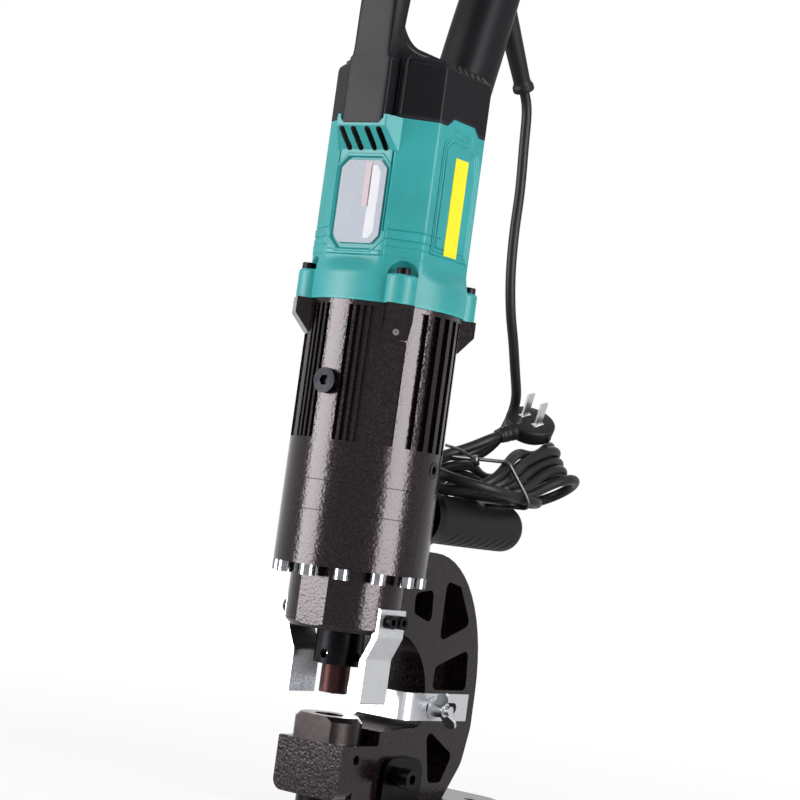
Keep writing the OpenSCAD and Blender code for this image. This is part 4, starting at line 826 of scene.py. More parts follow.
def slots_open(x, z, front):
    """How far open the air slots are at a place, from 0 to 1. Their lower ends lean to the right."""
    cos, sin = math.cos(SLOT_LEAN), math.sin(SLOT_LEAN)
    v = z - (NOTCH_FLOOR - 9)
    most = np.zeros_like(x)
    for place in SLOT_PLACES:
        u = x - place
        across, along = u * cos + v * sin, -u * sin + v * cos
        edge = np.hypot(across, np.maximum(np.abs(along) - SLOT_HALF, 0)) - SLOT_R
        most = np.maximum(most, np.where(front & (z > SEAM - 20.3), step(0.12, -0.22, edge), 0))
    return most


def housing_radius(angle, z, round_mm, groove):
    """The housing's outer surface: its distance from the axis at an angle and a height, and how far open
    the air slots are there."""
    rise = step(FLANGE_FOOT + 15, FLANGE_FOOT + 28.5, z)
    body = FLANGE_R + (outline_radius(angle, round_mm) - FLANGE_R) * rise
    r = with_lobes(with_bump(body, angle, z), angle, z)
    x, y = r * np.sin(angle), -r * np.cos(angle)
    ahead, aside = np.cos(angle), np.abs(np.sin(angle))
    cut = plate_relief(x, z, ahead > IN_FRONT)
    # The stepped lines run a little way onto the side faces.
    lines = (aside > 0.48) & (ahead > 0.25)
    for below, size in BEVEL_LINES:
        height = SEAM - below
        cut += np.where(lines, groove * size * step(0.62, 0.25, np.abs(z - height)), 0)
        # Under each line the surface stands a little proud, for 6 mm.
        cut -= np.where(lines, 0.35 * step(height + 0.5, height - 0.2, z)
                        * step(height - 6.2, height - 5.4, z), 0)
    panel = shape_depth(y, z, SIDE_PANEL)
    for inset in PANEL_LINES:
        cut += np.where(aside > 0.72, groove * step(0.55, 0.2, np.abs(panel + inset)), 0)
    slots = slots_open(x, z, ahead > IN_FRONT)
    return r - cut - SLOT_DEPTH * slots, slots


def housing_rows():
    """Heights of the housing's rows, closer together where its surface steps."""
    marks = [FLANGE_FOOT, LOBE_TOP - 1.4, LOBE_TOP - 0.02, LOBE_TOP + 0.02, LOBE_TOP + 12, SEAM - 19.4,
             NOTCH_FLOOR, SEAM]
    pitches = [1.6, 0.4, 0.04, 0.42, 0.42, 0.4, 0.42]
    rows = []
    for low, high, pitch in zip(marks, marks[1:], pitches):
        rows.append(np.linspace(low, high, max(int(round((high - low) / pitch)), 1), endpoint=False))
    return np.concatenate(rows + [[SEAM]])


class PUNCH_OT_motor_housing(bpy.types.Operator):
    """Makes the teal motor housing and the screws in its lobes"""
    bl_idname = "punch.motor_housing"
    bl_label = "Motor Housing"

    def execute(self, context):
        sizes = context.scene.punch_housing
        columns = sizes.columns
        angle = np.linspace(0, 2 * np.pi, columns, endpoint=False)[None, :]
        z = housing_rows()[:, None]
        angle, z = np.broadcast_arrays(angle, z)
        r, slots = housing_radius(angle, z, sizes.edge_round / MM, sizes.groove_depth / MM)
        # Rows near the top are drawn up into the seam's tongues.
        top = seam_height(angle, outline_radius(angle, 0.3))
        height = z + (top - SEAM) * step(SEAM - 9, SEAM, z)
        outer = np.stack([r * np.sin(angle), -r * np.cos(angle), height], axis=-1)
        bore = np.stack([BORE_R * np.sin(angle[:2]), -BORE_R * np.cos(angle[:2]),
                         np.stack([height[-1] - 0.01, height[0]])], axis=-1)
        points = np.concatenate([outer, bore])
        quads = grid_faces(len(points), columns, close_rows=True)
        piece = new_piece("motor_housing_skin", points, quads, "nylon_teal")
        # Faces that lie in a slot, or go down into one, take the painted shade of the unlit inside.
        piece.data.materials.append(FINISH["slot_painted_shade"])
        shade_painted = np.zeros(points.shape[:2], dtype=bool)
        shade_painted[:len(slots)] = slots > 0.01
        piece.data.polygons.foreach_set("material_index", shade_painted.ravel()[quads].any(axis=1).astype(np.int32))
        piece.data.set_sharp_from_angle(angle=math.radians(50))
        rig.replaces(piece, "motor_housing")
        lobe_screws()
        return {"FINISHED"}


SCREW_HEAD_R, SCREW_HEAD_H, SOCKET_R, SCREW_SIDES = 4.4, 5.6, 2.3, 36


def screw_rings(centre):
    """Rings of a socket screw's head, standing up: its side, its rounded edge and its hexagonal socket."""
    top, out, inside = SCREW_HEAD_H, SCREW_HEAD_R, SOCKET_R
    round_part = [(0, out), (top - 0.5, out), (top - 0.15, out - 0.2), (top, out - 0.6)]
    socket = [(top, inside + 0.5), (top - 0.3, inside), (top * 0.35, inside)]
    upright, sixth = Matrix.Identity(3), math.pi / 6

    def hexagon(a):
        return radius * math.cos(sixth) / math.cos(a % (2 * sixth) - sixth)

    rings = [ring_about(centre, upright, along, SCREW_SIDES, lambda a: radius) for along, radius in round_part]
    for along, radius in socket:
        rings.append(ring_about(centre, upright, along, SCREW_SIDES, hexagon))
    return np.array(rings)


def lobe_screws():
    """The four screws that hold motor to pump, standing in the hollows over the lobes."""
    points, faces = [], []
    for turn in LUG_ANGLES:
        a = math.radians(turn)
        rings = screw_rings(Vector((LUG_SCREW_R * math.sin(a), -LUG_SCREW_R * math.cos(a), LOBE_TOP - 1.5)))
        start = len(points)
        points += [*rings.reshape(-1, 3), rings[0].mean(axis=0), rings[-1].mean(axis=0)]
        faces += [tuple(start + i for i in f) for f in capped_faces(len(rings), rings.shape[1])]
    piece = new_piece("motor_lobe_screws", points, faces, "black_oxide")
    piece.data.set_sharp_from_angle(angle=math.radians(35))
    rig.replaces(piece, "housing_screws")


# ---- the rear cap and the D-handle ----

# The hand opening's lower edge, the middle of the bar 13 mm over its upper one, and the strap's front face.
OPENING_LOW = CAP_TOP + 15
TOP_MID = OPENING_LOW + 105 + 13
STRAP_FACE = HALF_Y + BUMP_OUT
# The grip's lean backwards, its foot's depth, and its length up to where the top bar joins it.
GRIP_LEAN = math.radians(15.6)
GRIP_FOOT_Y = 49
GRIP_RUN = TOP_MID - CAP_TOP - 34
# Louvres in the cap's ledge on each side: how many, the first one's place, pitch, half width and depth.
LOUVRES, LOUVRE_FIRST, LOUVRE_PITCH, LOUVRE_HALF, LOUVRE_DEPTH = 5, -13.2, 6.9, 0.55, 1.6


def grip_at(h):
    """A place on the grip's middle line, a distance up from the cap: Y and Z."""
    return GRIP_FOOT_Y + h * math.sin(GRIP_LEAN), CAP_TOP + h * math.cos(GRIP_LEAN)


def handle_stations():
    """Stations round the D: Y, Z, direction of the loop, half depth, half width and how square."""
    grip = lambda h, turn, depth, width, power: (*grip_at(h), turn, depth, width, power)
    lean = math.degrees(GRIP_LEAN)
    return [
        (-STRAP_FACE + 5.4, NOTCH_FLOOR, 90, 5.4, 16, 9),
        (-STRAP_FACE + 5.4, CAP_TOP - 3, 90, 5.4, 16, 9),
        (-STRAP_FACE + 5.6, CAP_TOP + 1, 90, 5.6, 15.9, 9),
        (-STRAP_FACE + 6.2, CAP_TOP + 5.5, 90, 6.1, 14.4, 8),
        (-STRAP_FACE + 7.5, OPENING_LOW + 15, 90, 7.5, 14.3, 7.5),
        (-STRAP_FACE + 9, OPENING_LOW + 40, 90, 9, 14.3, 7),
        (-STRAP_FACE + 10.5, TOP_MID - 40, 88, 10.5, 14.3, 6),
        (-STRAP_FACE + 13, TOP_MID - 22, 70, 11, 14.8, 5),
        (-STRAP_FACE + 25, TOP_MID - 7, 35, 12.5, 15.3, 4.2),
        (-STRAP_FACE + 44, TOP_MID, 5, 13, 15.3, 3.6),
        (10, TOP_MID + 0.5, 0, 12.5, 15.3, 3.3),
        (36, TOP_MID, -3, 13, 15.8, 3),
        (58, TOP_MID - 4, -18, 15, 16.5, 2.7),
        (grip_at(GRIP_RUN + 18)[0] - 3, grip_at(GRIP_RUN + 18)[1] - 1, -48, 17, 17, 2.5),
        grip(GRIP_RUN + 4, -68, 19, 17.5, 2.4),
        grip(GRIP_RUN - 10, -90 - lean, 19, 17.5, 2.4),
        grip(50, -90 - lean, 20, 17.5, 2.4),
        grip(22, -90 - lean, 20, 17.5, 2.4),
        grip(2, -90 - lean, 20, 16.5, 2.6),
        (grip_at(0)[0] - 5, CAP_TOP - 14, -100 - lean, 18, 15.5, 2.6),
        (grip_at(0)[0] - 13, CAP_TOP - 26, -112, 12, 13.5, 2.6),
    ]


def handle_rings(steps, sides):
    """Rings of the D-handle, with the parting line of its two shells and the strap's sunk side bands."""
    # Angles round the section, closer together by the parting line.
    even = (np.arange(sides // 2) + 0.5) / (sides // 2)
    packed = (even - 0.10 * np.sin(2 * np.pi * even) / np.pi) * np.pi
    turn = np.concatenate([packed, np.pi + packed]) - np.pi / 2
    c, s = np.cos(turn), np.sin(turn)
    rings = []
    for i, (y, z, way, deep, wide, power) in enumerate(smooth_line(handle_stations(), steps)):
        way, station = math.radians(way), i / steps
        x = wide * np.sign(c) * np.abs(c) ** (2 / power)
        d = deep * np.sign(s) * np.abs(s) ** (2 / power)
        d = d - np.sign(d) * (step(0.42, 0.12, np.abs(x)) * 0.35)
        # A sunk band along each side of the strap, from 0.4 to 0.7 of its half depth before its middle.
        strap = step(2.6, 3.4, station) * step(8.4, 7.2, station)
        band = step(0.04, 0.12, d / deep - 0.30) * step(0.16, 0.08, d / deep - 0.62)
        x = x - np.sign(x) * strap * 1.5 * band
        rings.append(np.stack([x, y - d * math.sin(way), z + d * math.cos(way)], axis=-1))
    return rings


def octagon_half_width(y):
    """Half the octagon's width at a depth."""
    if y < -HALF_Y + BEVEL_FRONT:
        return BEVEL_X + (y + HALF_Y) / BEVEL_FRONT * (HALF_X - BEVEL_X)
    if y > HALF_Y - BEVEL_BACK:
        return BEVEL_X + (HALF_Y - y) / BEVEL_BACK * (HALF_X - BEVEL_X)
    return HALF_X


class PUNCH_OT_rear_cap(bpy.types.Operator):
    """Makes the black rear cap with its louvres and the saddle under the hand opening"""
    bl_idname = "punch.rear_cap"
    bl_label = "Rear Cap"

    def execute(self, context):
        columns = 720
        angle = np.linspace(0, 2 * np.pi, columns, endpoint=False)
        east, north = np.sin(angle), -np.cos(angle)
        foot = seam_height(angle, outline_radius(angle, 0.45)) + 0.25
        ledge = CAP_TOP - SEAM
        rings, shade_painted = [], []
        for h in np.concatenate([[0, 0.35], np.linspace(0.6, 30, 28), np.linspace(30.5, 40.5, 30), [41.0]]):
            z = np.maximum(foot + min(h, 0.35), SEAM + max(h, 0.25))
            inset = 0.35 * (h == 0) + 5.0 * step(ledge - 0.6, ledge + 5.6, h) + 6 * max(h - 40.2, 0)
            r = outline_radius(angle, 0.45 + 0.5 * (h > 33), inset)
            cut = np.zeros(columns)
            for k in range(LOUVRES):
                place = LOUVRE_FIRST + LOUVRE_PITCH * k + (h - 38) * 0.9
                slit = step(LOUVRE_HALF + 0.45, LOUVRE_HALF, np.abs(r * north - place))
                cut = np.maximum(cut, slit * (np.abs(east) > 0.7) * (35.3 < h < 40.3))
            # Faces deep in a louvre are marked for the painted shade of the cap's unlit inside.
            shade_painted.append(cut > 0.6)
            r = r - LOUVRE_DEPTH * cut
            rings.append(np.stack([r * east, r * north, z], axis=-1))
        # The top closes in a low crown.
        edge = rings[-1]
        for share in (0.92, 0.75, 0.5, 0.25):
            rings.append(edge * [share, share, 1] + [0, 0, 1.2 * (1 - share)])
        # The cap is open below, as the real one is: an inner wall runs back down from its lid.
        inner = []
        for h in (0.45, 4.0, 36.0):
            r = outline_radius(angle, 1.0, 3.0)
            inner.append(np.stack([r * east, r * north, np.full(columns, SEAM + h)], axis=-1))
        tip, last = len(rings) * columns, (len(rings) - 1) * columns
        base, lid = tip + 1, tip + 1 + len(inner) * columns
        points = np.concatenate([*rings, [[0, 0, CAP_TOP + 7.6]], *inner, [[0, 0, SEAM + 36.0]]])
        pairs = [(c, (c + 1) % columns) for c in range(columns)]
        faces = [tuple(f) for f in grid_faces(len(rings), columns)]
        faces += [(tip, last + c, last + n) for c, n in pairs]
        faces += [tuple(base + i for i in f) for f in grid_faces(len(inner), columns)]
        faces += [(n, base + n, base + c, c) for c, n in pairs]
        faces += [(lid, lid - columns + c, lid - columns + n) for c, n in pairs]
        piece = new_piece("rear_cap", points, faces, "nylon_black")
        # The louvres' inner faces take painted shade, standing in for the unlit inside.
        piece.data.materials.append(FINISH["slot_painted_shade"])
        flags = np.zeros(len(points), dtype=bool)
        flags[:len(shade_painted) * columns] = np.ravel(shade_painted)
        for f in piece.data.polygons:
            f.material_index = int(all(flags[v] for v in f.vertices))
        piece.data.set_sharp_from_angle(angle=math.radians(40))
        self.saddle()
        return {"FINISHED"}

    def saddle(self):
        """The web between strap and grip that the hand opening's lower edge runs round."""
        bend, strap_back, edge = 26, -13.6, 2.5
        foot_z = CAP_TOP + 4.5
        rings = []
        for y in np.concatenate([np.linspace(-46, -12, 30), np.linspace(-9, 58, 24)]):
            # A quarter round from the strap down to the flat.
            away = min(max(strap_back - y, 0) / bend, 1)
            top = OPENING_LOW + bend * (1 - math.sqrt(1 - away * away)) + 14 * max((-39 - y) / 7, 0)
            crest = 11.0 + 1.6 * step(10, 50, y)
            foot = max(octagon_half_width(y) - 5.6, crest + 0.8)
            half = [(foot, CAP_TOP - 4)]
            half += [(crest + (foot - crest) * (1 - t) ** 2.6, foot_z + (top - foot_z - edge) * t)
                     for t in np.linspace(0, 1, 16)]
            half += [(crest - edge + edge * math.cos(a), top - edge + edge * math.sin(a))
                     for a in np.radians(np.linspace(20, 90, 6))]
            rings.append([(x, y, z) for x, z in half] + [(-x, y, z) for x, z in half[::-1]])
        lofted("handle_saddle", np.array(rings)[:, ::-1], "nylon_black")


class PUNCH_OT_d_handle(bpy.types.Operator):
    """Makes the D-handle's loop and the side trim of its strap"""
    bl_idname = "punch.d_handle"
    bl_label = "D-Handle"

    def execute(self, context):
        rings = handle_rings(7, 132)
        piece = lofted("d_handle", np.array(rings), "nylon_black")
        piece.data.set_sharp_from_angle(angle=math.radians(48))
        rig.replaces(piece, "handle_shell_left", "handle_shell_right")
        # Ribs on the cap beside the strap, from the seam up to the ledge.
        for side in (-1, 1):
            for x, y, name in ((17.6, -41.4, "inner"), (BEVEL_X + 0.2, -41.6, "outer")):
                path = [(side * x, y, z) for z in np.linspace(SEAM + 0.6, CAP_TOP + 1.5, 12)]
                path += [(side * (x + 0.4), y + 2.2, CAP_TOP + 4.2)]
                hand = "right" if side > 0 else "left"
                lofted(f"cap_rib_{name}_{hand}", along_path(path, 0.9, 12), "nylon_black")
        return {"FINISHED"}


# ---- cord, hank, tie, boot and plug ----

# The cord's way down from its boot, as the frame's own source has it, and on behind the plug.
CORD_DOWN = [(0, 124, 486), (0, 127, 482), (0, 131, 472), (0, 133, 450), (1, 134, 420), (1, 134, 390),
             (2, 135, 362), (2, 141, 338), (1, 151, 318), (-2, 163, 300), (-6, 175, 285), (-11, 183, 271),
             (-16, 185, 259)]
PLUG_MID = Vector((8, 176, 268))
PLUG_TURN = Euler((math.radians(22), math.radians(27), 0), "XYZ").to_matrix()
# The boot leaves the grip's back face, 20 mm behind its middle line and 3 mm deep in it, 80 mm up.
BOOT_ROOT = Vector((0, grip_at(80)[0] + 20 * math.cos(GRIP_LEAN) - 3,
                    grip_at(80)[1] - 20 * math.sin(GRIP_LEAN)))
BOOT_END = Vector(CORD_DOWN[0])
# The hank: half its width, its lowest run's height, and how far one run is laid over another.
HANK_HALF, HANK_FLOOR, RUN_RISE = 23.6, 213.0, 7.7
# Where the plug's strain relief ends, in the plug's own axes, and the highest that the hank may come under it.
RELIEF_TIP = (0, -31, -6)
UNDER_PLUG = 244.5


def on_plug(x, y, z):
    """A place given in the plug's own axes, whose Z runs along its blades."""
    return PLUG_MID + PLUG_TURN @ Vector((x, y, z))


def hank_route(turns):
    """Where the cord is first laid, from boot to plug. Its left ends lie flat, one over the next; each
    turn then leans over as it goes back, so that the right ends lie stacked aslant; and the last run comes
    back along the near side, round the left end and up to the plug's strain relief."""
    # How far back each turn's left and right ends are.
    left = [106 + 11 * k for k in range(turns)]
    right = [197, 194.5, 199, 195.5, 198][:turns]
    rise = RUN_RISE * (turns - 1) / 2

    def layer(k, y):
        """How high a turn lies at a depth: over every later turn that has begun there."""
        under = sum(float(step(left[j] - 28, left[j] - 4, y)) for j in range(k + 1, turns))
        return HANK_FLOOR + RUN_RISE * under

    def twisted(x, y, z):
        """A place in the flat hank, turned about its middle towards the right ends and kept under the plug."""
        turn = math.radians(30) * float(step(128, 196, y))
        middle = HANK_FLOOR + rise * float(step(left[0] - 10, left[-1], y))
        off = z - middle
        lift = (HANK_HALF - rise) * math.sin(turn)
        most = UNDER_PLUG + 14 * float(step(178, 200, y))
        return (x * math.cos(turn) - off * math.sin(turn), y,
                min(middle + x * math.sin(turn) + off * math.cos(turn) + lift, most))

    line = CORD_DOWN + [(-22.5, 183, 250), (-28, 173, 242), (-29.5, 160, 239), (-27, 147, 238)]
    for k in range(turns):
        along = np.linspace(right[k - 1] if k else 138, left[k], 8)
        line += [twisted(-HANK_HALF, y, layer(k, y)) for y in (along[1:] if k else along)]
        for a in np.linspace(0, np.pi, 9)[1:-1]:
            line.append((-HANK_HALF * math.cos(a), left[k] - HANK_HALF * math.sin(a), layer(k, left[k] - 10)))
        line += [twisted(HANK_HALF, y, layer(k, y)) for y in np.linspace(left[k], right[k], 8)]
        top = twisted(HANK_HALF, right[k], layer(k, right[k]))
        foot = twisted(-HANK_HALF, right[k], layer(min(k + 1, turns - 1), right[k]))
        if k == turns - 1:
            foot = (foot[0] + 8, foot[1], foot[2])
        for a in np.linspace(0, np.pi, 9)[1:-1]:
            line.append((top[0] + (foot[0] - top[0]) * a / np.pi,
                         right[k] + abs(foot[2] - top[2]) / 2 * math.sin(a),
                         (top[2] + foot[2]) / 2 + (top[2] - foot[2]) / 2 * math.cos(a)))
    line += [foot, (28, 184, 213.5), (31, 168, 213.5), (32, 150, 213.5), (32, 134, 214), (32, 118, 216)]
    for a in np.linspace(0, np.pi * 0.86, 9)[1:]:
        line.append((6 + 26 * math.cos(a), 108 - 26 * math.sin(a), 217 + 13 * a / np.pi))
    tip, way = np.array(on_plug(*RELIEF_TIP)), np.array(PLUG_TURN @ Vector((0, 1, 0)))
    line += [tip - way * 30 - (5, 0, 3), tip - way * 15 - (0.6, 0, 0.6), tip - way, tip + way * 3]
    return smooth_line(line, 5)


def settled(line, spacing=5.0, rounds=440, bend=36.0):
    """The line laid by hank_route, let go: its strands push each other apart, no bend closes up, the grip,
    the cylinder and the plug keep it out, and every length stays as it was."""
    along = np.r_[0, np.cumsum(np.linalg.norm(np.diff(line, axis=0), axis=1))]
    at = np.linspace(0, along[-1], int(round(along[-1] / spacing)) + 1)
    p = np.stack([np.interp(at, along, line[:, i]) for i in range(3)], 1)
    home, count = p.copy(), len(p)
    link = np.linalg.norm(np.diff(p, axis=0), axis=1).mean()
    order = np.arange(count)
    # The first 180 mm, down from the boot, and the last three points, in the plug's relief, stay.
    free = np.ones(count)
    free[:int(180 / spacing)] = free[-3:] = 0
    moves = free > 0
    one, other = np.triu_indices(count, 8)
    both = free[one] + free[other] > 0
    one, other = one[both], other[both]
    up, way = (np.array(PLUG_TURN @ Vector(v)) for v in ((0, 0, 1), (0, 1, 0)))
    middle, tip, half = np.array(PLUG_MID), np.array(on_plug(*RELIEF_TIP)), CORD_D / 2

    def share(first, second, change):
        """Adds a change, given from second to first, to both ends of each pair by how free they are."""
        weight = np.maximum(free[first] + free[second], 1)[:, None]
        np.add.at(p, first, change * free[first, None] / weight)
        np.add.at(p, second, -change * free[second, None] / weight)

    def between(first, second):
        """The way from second to first, as units, and how far it is."""
        apart = p[first] - p[second]
        far = np.linalg.norm(apart, axis=1)[:, None] + 1e-9
        return apart / far, far

    for done in range(rounds):
        # It sinks a little, keeps to where it was laid, and straightens.
        p[:, 2] -= 0.02 * free * (1 - done / rounds)
        p += (home - p) * 0.002 * free[:, None]
        even = np.zeros_like(p)
        even[2:-2] = (-p[:-4] + 4 * p[1:-3] + 4 * p[3:-1] - p[4:]) / 6 - p[2:-2]
        p += 0.3 * even * free[:, None]
        # Strands that touch push each other apart.
        apart = p[one] - p[other]
        near = (apart * apart).sum(1) < (CORD_D + 0.35) ** 2
        unit, far = between(one[near], other[near])
        share(one[near], other[near], unit * (CORD_D + 0.35 - far) * 0.45)
        # No two points along the cord come closer than on the tightest bend.
        for _ in range(2):
            for gap in (2, 3, 5, 7):
                least = 2 * bend * math.sin(min(gap * link / 2 / bend, math.pi / 2))
                unit, far = between(order[gap:], order[:-gap])
                share(order[gap:], order[:-gap], unit * np.clip(least - far, 0, None) * 0.24)
        # The grip, the cylinder with 8 mm to spare, and the hank's underside.
        far, clear = np.hypot(p[:, 0], p[:, 2] - GRIP_AXIS_Z) + 1e-9, 16.5 + half
        on = (p[:, 1] < 177) & (far < clear) & moves
        p[on, 0] *= (clear / far)[on]
        p[on, 2] = GRIP_AXIS_Z + (p[on, 2] - GRIP_AXIS_Z) * (clear / far)[on]
        far, clear = np.hypot(p[:, 0], p[:, 1]) + 1e-9, 54 + half
        on = (far < clear) & moves
        p[on, :2] *= (clear / far)[on, None]
        on = (p[:, 2] < HANK_FLOOR - 3.2) & moves
        p[on, 2] += (HANK_FLOOR - 3.2 - p[on, 2]) * 0.5
        # The plug's disc: under it the cord goes down, beside it outwards.
        above = (p - middle) @ up
        out = p - middle - above[:, None] * up
        far = np.linalg.norm(out, axis=1) + 1e-9
        down, side = above + 12.3 + half, 17.8 + half - far
        on = (down > 0) & (above < half) & (side > 0) & moves & (order < count - 8)
        below, beside = on & (down <= side), on & (side < down)
        p[below] -= up * np.minimum(down[below], 2)[:, None] * 0.3
        p[beside] += (out / far[:, None])[beside] * np.minimum(side[beside], 2)[:, None] * 0.3
        # The plug's strain relief, and the cord's own end before it.
        ahead = np.clip((p - tip) @ way, -30, 22)
        far = np.linalg.norm(p - tip - ahead[:, None] * way, axis=1)
        clear = np.where(ahead > 0, 9.7, 7.3)
        on = (far < clear) & moves & (order < count - 16)
        p[on, 2] -= np.minimum(clear - far, 2)[on] * 0.4
        # Every length comes back to what it was.
        for _ in range(6):
            for odd in (0, 1):
                start = order[odd:-1:2]
                unit, far = between(start + 1, start)
                share(start, start + 1, unit * (far - link))
    return p


class PUNCH_OT_cord(bpy.types.Operator):
    """Makes the mains cord with its hank, tie, boot and plug"""
    bl_idname = "punch.cord"
    bl_label = "Cord and Plug"

    def execute(self, context):
        sizes = context.scene.punch_cord
        line = smooth_line(settled(hank_route(sizes.turns)), 2)
        curve = bpy.data.curves.new("power_cord_skin", "CURVE")
        curve.dimensions = "3D"
        curve.bevel_depth = sizes.diameter / 2
        curve.bevel_resolution = 6
        curve.use_fill_caps = True
        spline = curve.splines.new("POLY")
        spline.points.add(len(line) - 1)
        spline.points.foreach_set("co", np.hstack([line * MM, np.ones((len(line), 1))]).ravel())
        spline.use_smooth = True
        cord = bpy.data.objects.new("power_cord_skin", curve)
        context.scene.collection.objects.link(cord)
        curve.materials.append(FINISH["pvc_cord"])
        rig.ride(cord, "tool_body")
        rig.slot(cord, SLOT["pvc_cord"])
        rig.replaces(cord, "power_cord", "cord_hank")
        length = float(np.linalg.norm(np.diff(line, axis=0), axis=1).sum()) * MM
        plug, tie = self.plug(), self.tie(line)
        self.boot()
        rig.cord(cord, exit=tuple(np.array(line[0]) * MM), length=round(length, 3), diameter=sizes.diameter,
                far_end="plug", stiffness="medium", lay="coiled", with_pieces=plug + tie)
        return {"FINISHED"}

    def boot(self):
        """The tapered strain relief where the cord leaves the grip, with its flared collar."""
        way = (BOOT_END - BOOT_ROOT).normalized()
        length = (BOOT_END - BOOT_ROOT).length
        profile = [(-6, 7.4), (0, 7.3), (6, 7.0), (20, 6.7), (36, 6.3), (length - 11, 5.9), (length - 7, 5.9),
                   (length - 5.4, 6.4), (length - 4.2, 7.1), (length - 3.0, 7.3), (length - 1.2, 7.3),
                   (length - 0.3, 6.9), (length + 0.2, 5.6)]
        piece = turned("cable_boot_skin", smooth_line(profile, 3), BOOT_ROOT, way, "rubber_black", sides=56)
        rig.replaces(piece, "cable_boot")

    def plug(self):
        """The flat round plug with nubs on its rim, its strain relief and the pale frames of its blades."""
        disc = [(-12, 12.0), (-11.4, 14.6), (-10.2, 16.2), (-8.4, 17.0), (-3.0, 17.5), (-1.2, 17.4),
                (-0.4, 16.9), (0, 16.0), (0, 9), (0, 3)]
        nub = [(-3.4, 0.6), (-3.0, 1.8), (0, 2.3), (3.0, 1.8), (3.4, 0.6)]
        ribbed = [(0, 6.2), (6, 6.1), (10, 5.9), (12, 5.3), (13, 5.7), (15, 5.7), (16, 5.0), (17, 5.4),
                  (19, 5.3), (20, 4.6), (21, 4.9), (22.6, 4.7), (23, 4.0)]
        body = turned("plug_disc", disc, PLUG_MID, PLUG_TURN @ Vector((0, 0, 1)), "pvc_plug", sides=72)
        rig.replaces(body, "plug_body")
        parts = [body]
        hands = ((-1, "left"), (1, "right"))
        for side, name in hands:
            parts.append(turned(f"plug_nub_{name}", nub, on_plug(side * 16.9, 1.5, -5.5),
                                PLUG_TURN @ Vector((0.15 * side, 0, 1)), "pvc_plug", sides=20))
        parts.append(turned("plug_relief", ribbed, on_plug(0, -9, -6), PLUG_TURN @ Vector((0, -1, 0)),
                            "pvc_plug", sides=36))
        # A pale frame round each blade: half its width and height inside, and a rim of 0.9 mm.
        blade_x, half_w, half_h, rim, proud, sunk = 6.35, 1.1, 3.5, 0.9, 0.35, -0.3
        for side, name in hands:
            rings = []
            for grow, z in ((rim, sunk), (rim, proud), (0, proud), (0, sunk)):
                w, h = half_w + grow, half_h + grow
                rings.append([tuple(on_plug(side * blade_x + a * w, b * h, z))
                              for a, b in ((-1, -1), (1, -1), (1, 1), (-1, 1))])
            parts.append(new_piece(f"blade_frame_{name}", np.array(rings), grid_faces(4, 4, close_rows=True),
                                   "nylon_white", smooth=False))
        return parts

    def tie(self, line):
        """The nylon tie slanting round the hank, drawn snug over its strands, with its head and its tail."""
        high, low = Vector((0, 110, 246)), Vector((0, 133, 207))
        across, down = Vector((1, 0, 0)), (low - high).normalized()
        away = np.array(across.cross(down))
        # The hank's strands under it count, and not the cord's way down or its end at the plug.
        beside = np.abs((line - np.array(high)) @ away) < 4.5
        beside &= (line[:, 1] > 60) & (line[:, 2] < 262) & (np.arange(len(line)) < len(line) - 40)
        spots = np.stack([line[beside, 0], (line[beside] - np.array(high)) @ np.array(down)], 1)
        # The band's own middle line: the furthest strand each way, with half of both thicknesses.
        path = []
        for turn in np.radians(np.arange(0, 360, 7.5)):
            way = np.array((math.cos(turn), math.sin(turn)))
            x, y = spots[np.argmax(spots @ way)] + way * (CORD_D / 2 + 1.3)
            path.append(high + across * x + down * y)
        band = lofted_ring("cord_tie_skin", along_path(path, 1.25, 12, closed=True), "nylon_tie")
        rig.replaces(band, "cord_tie")
        view = CameraView(bpy.context.scene.punch_camera)
        head_at = place_on(view, [band], *IMAGE_POINTS["tie head"])
        head = turned("tie_head", [(-3.4, 1.6), (-3.1, 2.6), (3.1, 2.6), (3.4, 1.6)], head_at, down,
                      "nylon_tie", sides=24)
        tail_line = [head_at + Vector(off)
                     for off in ((0, 0, 0), (-1, -9, 3.2), (-2.5, -20, 5.6), (-4, -31, 6.6))]
        tail = lofted("tie_tail", along_path(smooth_line(tail_line, 5), 1.0, 10), "nylon_tie")
        return [band, head, tail]


# ---- the side grip ----

